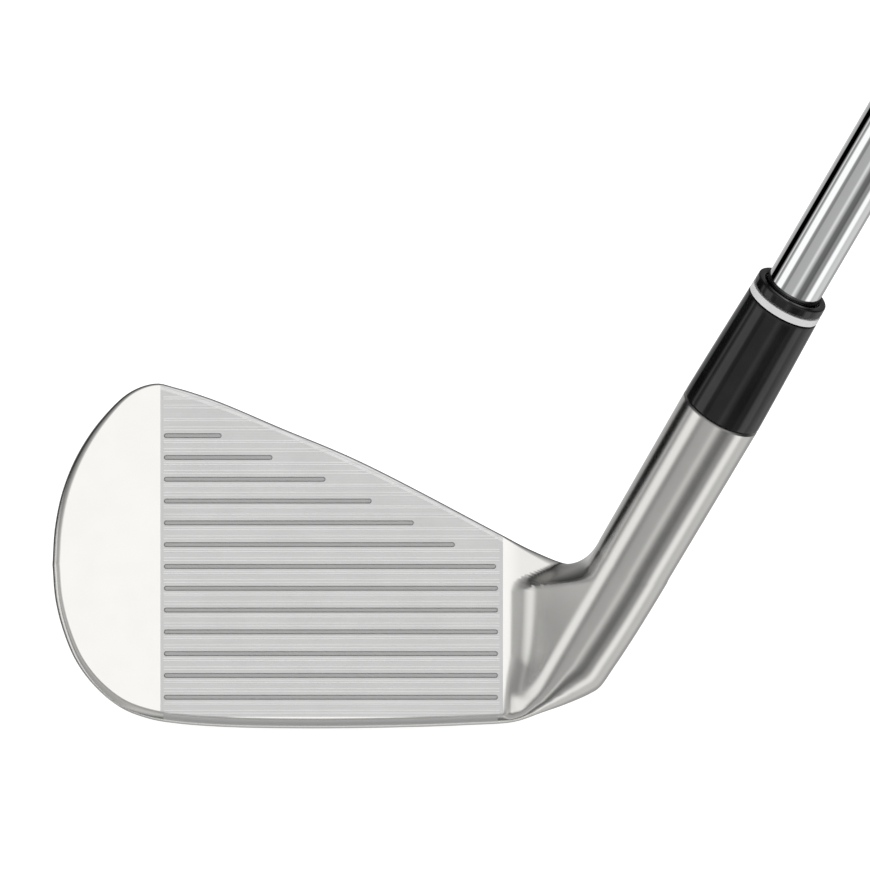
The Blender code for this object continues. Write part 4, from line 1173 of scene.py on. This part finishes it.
def chrome_finish(colour):
    """Bright chrome plating over a polished tube, with hairline marks round it."""
    chrome = Finish("shaft_chrome", metallic=1.0)
    hair = chrome.round_noise(260.0, 7000.0, 3.0)
    haze = chrome.noise(chrome.place, 60.0, 3.0)
    chrome.feed("Base Color", chrome.colours(haze.rise(0.35, 0.7), tuple(colour), darker(colour, 0.985)))
    chrome.feed("Roughness", 0.025 + hair * 0.03 + haze * 0.015)
    chrome.bump(hair, 0.0006 * MM)
    return chrome.material


def label_finish():
    """A plain printed band: dark with two fine light rules near each end."""
    band = Finish("shaft_label", coat_weight=0.5)
    up, _ = band.on_shaft()
    start = GRIP_START - BAND_FROM_GRIP - BAND_LENGTH
    share = (up - start) / BAND_LENGTH
    rules = share.within(0.06, 0.075, 0.002) + share.within(0.09, 0.12, 0.002)
    rules = rules + share.within(0.88, 0.91, 0.002) + share.within(0.925, 0.94, 0.002)
    weave = band.round_noise(2600.0, 2600.0, 2.0)
    ground = band.colours(weave.rise(0.3, 0.7), (0.10, 0.105, 0.115), (0.14, 0.145, 0.155))
    band.feed("Base Color", band.colours(rules, ground, (0.62, 0.62, 0.6)))
    band.feed("Roughness", 0.34 + weave * 0.12 - rules * 0.06)
    band.bump(weave * 0.3 + rules * 0.7, 0.01 * MM)
    return band.material


def rubber_finish(name, colour, paint_rings):
    """Moulded rubber: matt, with a fine pebble, patches of dust and light paint in a ring."""
    rubber = Finish(name)
    pebble = rubber.cells(rubber.place, 2300.0, "SMOOTH_F1")
    dust = rubber.noise(rubber.place, 90.0, 4.0, 0.6)
    speck = rubber.noise(rubber.place, 1900.0, 2.0)
    light = tuple(min(channel * 2.2 + 0.008, 1.0) for channel in colour)
    tone = rubber.colours(dust.rise(0.35, 0.75), tuple(colour), light)
    tone = rubber.colours(speck.rise(0.55, 0.75) * 0.5, tone, light)
    up, _ = rubber.on_shaft()
    paint = 0.0
    for low, high in paint_rings:
        paint = up.within(low, high, 0.05 * MM) + paint
    if paint_rings:
        tone = rubber.colours(paint * (0.75 + speck * 0.25), tone, (0.7, 0.7, 0.68))
    rubber.feed("Base Color", tone)
    rubber.feed("Roughness", 0.62 + speck * 0.16 + dust * 0.08)
    rubber.bump(pebble * 0.8 + speck * 0.2, 0.05 * MM)
    return rubber.material


def masking_finish():
    """Creped paper tape wound round the shaft."""
    paper = Finish("grip_tape")
    up, turn = paper.on_shaft()
    wound = ((up / (19.0 * MM)) + turn).math("FRACT")
    seam = wound.rise(0.06, 0.0) + wound.rise(0.94, 1.0)
    crepe = paper.round_noise(900.0, 3200.0, 3.0)
    tone = paper.colours(crepe.rise(0.3, 0.7), (0.62, 0.53, 0.36), (0.76, 0.68, 0.5))
    paper.feed("Base Color", paper.colours(seam * 0.6, tone, (0.46, 0.38, 0.24)))
    paper.feed("Roughness", 0.75 + crepe * 0.15)
    paper.bump(crepe * 0.6 - seam * 0.4, 0.06 * MM)
    return paper.material


# ---------------------------------------------------------------- operators


def ready(context):
    """The club's settings, which register() put on the scene."""
    scene = context.scene
    if "head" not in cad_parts:
        raise RuntimeError("the frame has no head to build around")
    return scene.club_sizes, scene.club_finishes


class HEAD_OT_build(bpy.types.Operator):
    """Forged head: lofted blade and hosel with grooves, pocket, bore and weight seat"""

    bl_idname = "iron_club.head"
    bl_label = "Head"

    def execute(self, context):
        sizes, finishes = ready(context)
        upper, lower = upper_branch(), lower_branch()
        blank = mesh_from("head_blank", lambda work: loft_head(work, upper, lower))
        grooves = lambda work: fill_grooves(work, upper, sizes.groove_width, sizes.groove_depth)
        outline = smooth_outline(pocket_outline(upper, 0.0), CAVITY_CORNER)
        levels = [*quarter_round(0.8 * MM, FACE_THICKNESS), (-1.2 * MM, 30 * MM)]
        bore_radius = SHAFT_TIP_RADIUS + 2 * GAP + BOND_THICKNESS
        floor, reach = HOSEL_TOP - BORE_DEPTH, HOSEL_TOP + 2 * MM
        bore = [(0.0, reach), (bore_radius, reach), (bore_radius, floor), (0.0, floor - 1.5 * MM)]
        cutters = (
            mesh_from("grooves", grooves),
            mesh_from("pocket", lambda work: stack(work, outline, levels)),
            mesh_from("bore", lambda work: lathe(work, bore, 96)),
            mesh_from("seat", lambda work: fill_plug(work, WEIGHT_RADIUS + GAP, WEIGHT_FLOOR, 24 * MM)),
        )
        carved = carve(context, blank, cutters)
        sharpen(carved)
        add_piece("club_head", carved, head_finish(finishes, upper), "head")
        return {"FINISHED"}


def carve(context, blank, cutters):
    """The blank with every cutter taken away, as a mesh of its own."""
    scene = context.scene
    body = bpy.data.objects.new("blank", blank)
    scene.collection.objects.link(body)
    tools = []
    for mesh in cutters:
        tool = bpy.data.objects.new(mesh.name, mesh)
        scene.collection.objects.link(tool)
        tools.append(tool)
        modifier = body.modifiers.new("cut", "BOOLEAN")
        modifier.operation = "DIFFERENCE"
        modifier.solver = "EXACT"
        modifier.object = tool
    evaluated = body.evaluated_get(context.evaluated_depsgraph_get())
    made = bpy.data.meshes.new_from_object(evaluated)
    made.name = "club_head"
    for used in [body, *tools]:
        bpy.data.objects.remove(used)
    if len(made.polygons) < 1000:
        raise RuntimeError("the head came out of its cuts with too few faces")
    return made


def sharpen(mesh):
    """Marks hard edges, and the rim of the flat, so that the flat shades as a plane."""
    work = bmesh.new()
    work.from_mesh(mesh)
    work.normal_update()
    flat = set()
    for face in work.faces:
        face.smooth = True
        if face.normal.dot(FACE_OUT) > 0.999999 and abs(depth_of(face.calc_center_median())) < 1e-6:
            flat.add(face)
    for edge in work.edges:
        sides = [face in flat for face in edge.link_faces]
        bend = edge.calc_face_angle(0.0)
        edge.smooth = not (bend > math.radians(24) or (any(sides) and not all(sides)))
    work.to_mesh(mesh)
    work.free()


class WEIGHT_OT_build(bpy.types.Operator):
    """Round weight pressed into the back of the toe"""

    bl_idname = "iron_club.toe_weight"
    bl_label = "Toe weight"

    def execute(self, context):
        ready(context)
        near, radius = WEIGHT_FLOOR + GAP, WEIGHT_RADIUS
        profile = [
            (0.0, near),
            (radius - 0.4 * MM, near),
            (radius, near + 0.4 * MM),
            (radius, near + WEIGHT_LENGTH - 0.4 * MM),
            (radius - 0.4 * MM, near + WEIGHT_LENGTH),
            (radius * 0.62, near + WEIGHT_LENGTH),
            (radius * 0.58, near + WEIGHT_LENGTH - 0.15 * MM),
            (0.0, near + WEIGHT_LENGTH - 0.15 * MM),
        ]

        def build(work):
            rings = []
            for reach, depth in rounded(profile, 0.25 * MM, 4):
                ring = []
                for i in range(96):
                    angle = math.tau * i / 96
                    spot = face_point(
                        reach * math.cos(angle) - WEIGHT_TOE, reach * math.sin(angle) + WEIGHT_HEIGHT, depth
                    )
                    ring.append(work.verts.new(spot))
                rings.append(ring)
            for ring, following in zip(rings, rings[1:]):
                for i in range(96):
                    j = (i + 1) % 96
                    work.faces.new((ring[i], ring[j], following[j], following[i]))
            bmesh.ops.remove_doubles(work, verts=work.verts, dist=1e-7)

        mesh = mesh_from("club_toe_weight", build)
        add_piece("club_toe_weight", mesh, weight_finish(), "toe_weight")
        return {"FINISHED"}


class BADGE_OT_build(bpy.types.Operator):
    """Plate in the pocket, and the finish of the tape behind it"""

    bl_idname = "iron_club.badge"
    bl_label = "Badge and tape"

    def execute(self, context):
        ready(context)
        outline = pocket_outline(upper_branch(), BADGE_MARGIN, BADGE_SHARE)
        outline = smooth_outline(outline, max(CAVITY_CORNER - BADGE_MARGIN, 0.5 * MM))
        near = FACE_THICKNESS + 2 * GAP + TAPE_THICKNESS
        far, edge, rim, sunk = near + BADGE_THICKNESS, 0.2 * MM, 1.1 * MM, 0.22 * MM
        levels = [(0.0, near), *((inset, near + far - depth) for inset, depth in reversed(quarter_round(edge, near)))]
        levels += [(rim, far), (rim + 0.12 * MM, far - sunk)]
        mesh = mesh_from("club_badge", lambda work: stack(work, outline, levels))
        add_piece("club_badge", mesh, badge_finish(), "cavity_badge")
        dress("badge_tape", tape_finish())
        return {"FINISHED"}


def dress(node, material):
    """Gives a carried-over solid its finish."""
    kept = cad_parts[node]
    kept.data.materials.clear()
    kept.data.materials.append(material)


class FERRULE_OT_build(bpy.types.Operator):
    """Ferrule: black body, light ring and black collar"""

    bl_idname = "iron_club.ferrule"
    bl_label = "Ferrule"

    def execute(self, context):
        sizes, finishes = ready(context)
        black = black_plastic_finish(finishes.ferrule_black[:])
        white = white_plastic_finish(finishes.ring_white[:])
        pieces = (
            ("ferrule_body", FERRULE_BODY, 24, 0.06 * MM, black, "ferrule_black"),
            ("ferrule_ring", FERRULE_RING, 3, 0.06 * MM, white, "ferrule_white"),
            ("ferrule_collar", FERRULE_COLLAR, 3, sizes.ferrule_edge, black, "ferrule_black"),
        )
        inner = SHAFT_TIP_RADIUS + GAP
        low = 0.0
        for node, length, steps, edge, material, slot in pieces:
            base, height = low + GAP, length - GAP
            shares = [1 - i / steps for i in range(steps + 1)]
            outer = [
                (ferrule_radius(base + height * share), HOSEL_TOP + base + height * share) for share in shares
            ]
            corners = [*outer, (inner, HOSEL_TOP + base), (inner, HOSEL_TOP + base + height)]
            profile = rounded(corners, edge)
            mesh = mesh_from("club_" + node, lambda work: lathe(work, profile))
            add_piece("club_" + node, mesh, material, node)
            low += length
        return {"FINISHED"}


def ferrule_radius(above_hosel):
    share = min(max(above_hosel, 0.0) / FERRULE_LENGTH, 1.0)
    return HOSEL_TOP_RADIUS + (FERRULE_END_RADIUS - HOSEL_TOP_RADIUS) * share**1.15


class SHAFT_OT_build(bpy.types.Operator):
    """Stepped steel shaft with its printed band"""

    bl_idname = "iron_club.shaft"
    bl_label = "Shaft"

    def execute(self, context):
        _, finishes = ready(context)
        rise = 0.6 * MM
        first = SHAFT_START + SHAFT_TIP
        span = SHAFT_BUTT_RADIUS - SHAFT_TIP_RADIUS
        outer = [(SHAFT_BUTT_RADIUS, SHAFT_END - GAP)]
        for step in reversed(range(SHAFT_STEPS)):
            place = first + step * SHAFT_STEP_PITCH
            outer.append((SHAFT_TIP_RADIUS + span * (step + 1) / SHAFT_STEPS, place + rise))
            outer.append((SHAFT_TIP_RADIUS + span * step / SHAFT_STEPS, place))
        outer.append((SHAFT_TIP_RADIUS, SHAFT_START))
        inner = [
            (SHAFT_TIP_RADIUS - SHAFT_WALL, SHAFT_START),
            (SHAFT_TIP_RADIUS - SHAFT_WALL, first),
            (SHAFT_BUTT_RADIUS - SHAFT_WALL, first + SHAFT_STEPS * SHAFT_STEP_PITCH),
            (SHAFT_BUTT_RADIUS - SHAFT_WALL, SHAFT_END - GAP),
        ]
        profile = rounded(outer + inner, 0.25 * MM, 4)
        mesh = mesh_from("club_shaft", lambda work: lathe(work, profile))
        add_piece("club_shaft", mesh, chrome_finish(finishes.chrome[:]), "shaft")

        inside = SHAFT_BUTT_RADIUS + GAP
        outside = inside + BAND_THICKNESS
        start = GRIP_START - BAND_FROM_GRIP - BAND_LENGTH
        corners = [(outside, start + BAND_LENGTH), (outside, start), (inside, start), (inside, start + BAND_LENGTH)]
        band = mesh_from("club_shaft_band", lambda work: lathe(work, rounded(corners, 0.08 * MM, 3)))
        add_piece("club_shaft_band", band, label_finish(), "shaft_band")
        return {"FINISHED"}


class INNER_OT_build(bpy.types.Operator):
    """Finishes of the pieces inside the hosel: the bond and the weight in the shaft's tip"""

    bl_idname = "iron_club.inner"
    bl_label = "Bond and tip weight"

    def execute(self, context):
        ready(context)
        dress("hosel_bond", epoxy_finish())
        dress("tip_weight", brass_finish())
        return {"FINISHED"}


class GRIP_OT_build(bpy.types.Operator):
    """Moulded rubber grip, its cap and the finish of the tape under it"""

    bl_idname = "iron_club.grip"
    bl_label = "Grip"

    def execute(self, context):
        sizes, finishes = ready(context)
        relief = sizes.grip_relief
        rings = [(CLUB_LENGTH - CAP_LENGTH - 3.4 * MM, CLUB_LENGTH - CAP_LENGTH - 2.4 * MM)]
        rubber = rubber_finish("grip_rubber", finishes.rubber[:], rings)
        mesh = mesh_from("club_grip", lambda work: fill_grip(work, relief), math.radians(50))
        add_piece("club_grip", mesh, rubber, "grip_sleeve")

        crown, low = 1.2 * MM, CLUB_LENGTH - CAP_LENGTH
        corners = [
            (VENT_RADIUS, low + CAP_LENGTH - 0.3 * MM),
            (CAP_RADIUS * 0.30, low + CAP_LENGTH - 0.3 * MM),
            (CAP_RADIUS * 0.33, low + CAP_LENGTH),
            (CAP_RADIUS * 0.78, low + CAP_LENGTH),
            (CAP_RADIUS * 0.94, low + CAP_LENGTH - crown * 0.35),
            (CAP_RADIUS, low + CAP_LENGTH - crown),
            (CAP_RADIUS, low + crown * 1.6),
            (CAP_RADIUS - 0.35 * MM, low + crown * 1.45),
            (CAP_RADIUS - 0.35 * MM, low + crown * 1.15),
            (CAP_RADIUS, low + crown),
            (CAP_RADIUS - crown * 0.7, low),
            (VENT_RADIUS, low),
        ]
        cap = mesh_from("club_grip_cap", lambda work: lathe(work, rounded(corners, 0.5 * MM)))
        lighter = tuple(channel * 2.0 for channel in finishes.rubber)
        add_piece("club_grip_cap", cap, rubber_finish("cap_rubber", lighter, []), "grip_cap")
        dress("grip_tape", masking_finish())
        return {"FINISHED"}


def fill_grip(work, relief):
    """The grip's sleeve, with crossing grooves moulded into bands along it."""
    inner = SHAFT_BUTT_RADIUS + 2 * GAP + GRIP_TAPE_THICKNESS + GAP - GAP
    length = GRIP_LENGTH - CAP_LENGTH - GAP
    low = GRIP_LIP * 2.2
    turns, steps = 144, 620
    rings = []

    def ring_of(up, radius_at):
        spots = [shaft_spot(radius_at(math.tau * i / turns), math.tau * i / turns, up) for i in range(turns)]
        rings.append([work.verts.new(spot) for spot in spots])

    for radius, up in ((inner, 0.0), (GRIP_MOUTH_RADIUS, 0.0)):
        ring_of(GRIP_START + up, lambda angle, radius=radius: radius)
    for i in range(9):
        swell = math.pi * i / 8
        radius = GRIP_MOUTH_RADIUS + GRIP_LIP * math.sin(swell) * 0.98
        ring_of(GRIP_START + 0.15 * MM + (low - 0.15 * MM) * i / 8, lambda angle, radius=radius: radius)
    for i in range(1, steps + 1):
        share = i / steps
        up = low + (length - low) * share
        plain = GRIP_MOUTH_RADIUS + (GRIP_BUTT_RADIUS - GRIP_MOUTH_RADIUS) * share**1.35
        ring_of(GRIP_START + up, lambda angle, up=up, plain=plain: plain - relief * moulded(up, angle, length))
    ring_of(GRIP_START + length, lambda angle: inner)
    for ring, following in zip(rings, [*rings[1:], rings[0]]):
        for i in range(turns):
            j = (i + 1) % turns
            work.faces.new((ring[i], ring[j], following[j], following[i]))


def moulded(up, angle, length):
    """How deep the grip's pattern is at a place, from 0 to 1."""
    def groove(phase, width):
        away = abs((phase + 0.5) % 1.0 - 0.5)
        return eased(1 - away / width)

    edge = eased((up - 14 * MM) / (2 * MM)) * eased((length - 16 * MM - up) / (2 * MM))
    lay = up / (7.2 * MM)
    turn = angle / math.tau * 12
    crossing = max(groove(lay + turn, 0.14), groove(lay - turn, 0.14))
    plain_band = 1 - groove(up / (62 * MM) + 0.1, 0.09)
    rings = max(groove((up - at) / (200 * MM), 0.0022) for at in (9 * MM, 11.5 * MM, length - 11 * MM))
    return max(crossing * edge * plain_band, rings)


class STAGE_OT_build(bpy.types.Operator):
    """Pale floor and surround, the soft light and the camera"""

    bl_idname = "iron_club.stage"
    bl_label = "Studio"

    def execute(self, context):
        studio = context.scene.club_studio
        context.scene.view_settings.view_transform = "Standard"
        make_dome(context, studio.dome)
        make_surround(context)
        make_camera(context, studio.lens, studio.view_width)
        return {"FINISHED"}


def make_camera(context, lens, width):
    """A long lens square to the face, so that the shape is seen without perspective."""
    data = bpy.data.cameras.new("camera")
    data.lens = lens
    data.clip_end = 100.0
    camera = bpy.data.objects.new("camera", data)
    context.scene.collection.objects.link(camera)
    target = face_point(-16.54 * MM, 50.05 * MM, 0.0)
    camera.location = target + FACE_OUT * (width * lens / data.sensor_width)
    camera.rotation_mode = "QUATERNION"
    camera.rotation_quaternion = (-FACE_OUT).to_track_quat("-Z", "Y")
    context.scene.camera = camera


def make_surround(context):
    """A pale floor that runs out into a plain surround, which reflections and shadow rays pass through."""
    profile = [(0.0, 0.0), (0.4, 0.0), (1.0, 0.0), (4.0, 0.0), (25.0, 0.0)]
    profile += [(40 * math.cos(math.radians(a)), 40 * math.sin(math.radians(a))) for a in range(30, 91, 10)]
    mesh = bpy.data.meshes.new("floor")
    work = bmesh.new()
    rings = []
    for radius, height in profile:
        spots = [(radius * math.cos(math.tau * i / 64), radius * math.sin(math.tau * i / 64)) for i in range(64)]
        rings.append([work.verts.new((x, y, GROUND + height)) for x, y in spots])
    for ring, following in zip(rings, rings[1:]):
        for i in range(64):
            j = (i + 1) % 64
            work.faces.new((ring[i], ring[j], following[j], following[i]))
    bmesh.ops.remove_doubles(work, verts=work.verts, dist=1e-6)
    work.to_mesh(mesh)
    work.free()
    floor = bpy.data.objects.new("floor", mesh)
    context.scene.collection.objects.link(floor)
    floor.visible_glossy = False
    floor.visible_shadow = False
    material = bpy.data.materials.new("floor")
    material.use_nodes = True
    shader = material.node_tree.nodes["Principled BSDF"]
    shader.inputs["Base Color"].default_value = (0.3, 0.3, 0.3, 1.0)
    shader.inputs["Roughness"].default_value = 1.0
    shader.inputs["Specular IOR Level"].default_value = 0.0
    shader.inputs["Emission Color"].default_value = (1.0, 1.0, 1.0, 1.0)
    shader.inputs["Emission Strength"].default_value = 0.9
    mesh.materials.append(material)


# Studio panels round the shaft line: (degrees round from the front, brightness)
PANELS = (
    (-180, 0.50), (-158, 0.60), (-144, 0.42), (-131, 0.44), (-125, 0.0), (-98, 0.0), (-93, 0.18),
    (-87, 0.74),
    (-80, 0.20), (-74, 0.45), (-69, 1.05), (-48, 1.05), (-42, 0.30), (-33, 0.22), (-27, 0.42),
    (3, 0.44), (12, 0.78), (20, 0.50), (30, 0.16), (48, 0.12), (56, 0.30), (67, 0.28),
    (76, 1.05), (90, 1.05), (99, 0.58), (116, 0.64), (132, 0.62), (141, 0.36), (160, 0.40), (180, 0.30),
)
# Studio panels round the camera's direction: (degrees away from it, brightness)
AHEAD_LOW = (
    (0, 1.22), (8, 1.16), (12, 0.40), (17, 0.30), (28, 0.50), (44, 0.66), (62, 0.60), (80, 0.22),
    (100, 0.13), (118, 0.40), (150, 0.42), (180, 0.30),
)
AHEAD_HIGH = (
    (0, 1.22), (8, 1.16), (20, 0.62), (44, 0.34), (62, 0.26), (80, 0.10), (98, 0.01), (118, 0.10),
    (150, 0.30), (180, 0.30),
)


def make_dome(context, strength):
    """Soft panels all round, as a light that depends only on direction."""
    world = bpy.data.worlds.new("studio")
    context.scene.world = world
    world.use_nodes = True
    tree = Tree(world.node_tree)
    way = tree.node("ShaderNodeTexCoord", output="Generated")
    right, front = tree.dot(way, SHAFT_RIGHT), tree.dot(way, SHAFT_FRONT)
    round_shaft = right.math("ARCTAN2", front) * (1 / math.tau) + 0.5
    panels = tree.ramp(round_shaft, [((angle + 180) / 360, level) for angle, level in PANELS])
    ahead = tree.dot(way, FACE_OUT).math("ARCCOSINE") * (1 / math.pi)
    low = tree.ramp(ahead, [(angle / 180, level) for angle, level in AHEAD_LOW])
    high = tree.ramp(ahead, [(angle / 180, level) for angle, level in AHEAD_HIGH])
    lowness = tree.dot(way, (ACROSS * -0.1 - FACE_UP).normalized())
    facing = tree.colours(lowness.rise(0.14, -0.02), low, high)
    below = tree.dot(way, SHAFT_WAY).rise(-0.12, -0.30)
    light = tree.colours(below, facing, panels)
    background = world.node_tree.nodes["Background"]
    background.inputs["Strength"].default_value = strength
    world.node_tree.links.new(light.socket, background.inputs["Color"])


OPERATORS = (
    HEAD_OT_build,
    WEIGHT_OT_build,
    BADGE_OT_build,
    FERRULE_OT_build,
    SHAFT_OT_build,
    INNER_OT_build,
    GRIP_OT_build,
    STAGE_OT_build,
)


class CLUB_PT_panel(bpy.types.Panel):
    """Lists the club's pieces and the studio in the sidebar"""

    bl_idname = "CLUB_PT_panel"
    bl_label = "Iron Club"
    bl_space_type = "VIEW_3D"
    bl_region_type = "UI"
    bl_category = "Iron Club"

    def draw(self, context):
        for group in (context.scene.club_sizes, context.scene.club_finishes, context.scene.club_studio):
            column = self.layout.column(align=True)
            for name in group.__annotations__:
                column.prop(group, name)
        for operator in OPERATORS:
            self.layout.operator(operator.bl_idname)


GROUPS = {"club_sizes": ClubSizes, "club_finishes": ClubFinishes, "club_studio": ClubStudio}


def register():
    for made in (*GROUPS.values(), *OPERATORS, CLUB_PT_panel):
        bpy.utils.register_class(made)
    for name, group in GROUPS.items():
        setattr(bpy.types.Scene, name, bpy.props.PointerProperty(type=group))


def unregister():
    for name in GROUPS:
        delattr(bpy.types.Scene, name)
    for made in reversed((*GROUPS.values(), *OPERATORS, CLUB_PT_panel)):
        bpy.utils.unregister_class(made)


def main():
    register()
    for operator in OPERATORS:
        group, name = operator.bl_idname.split(".")
        getattr(getattr(bpy.ops, group), name)()


if __name__ == "__main__":
    main()
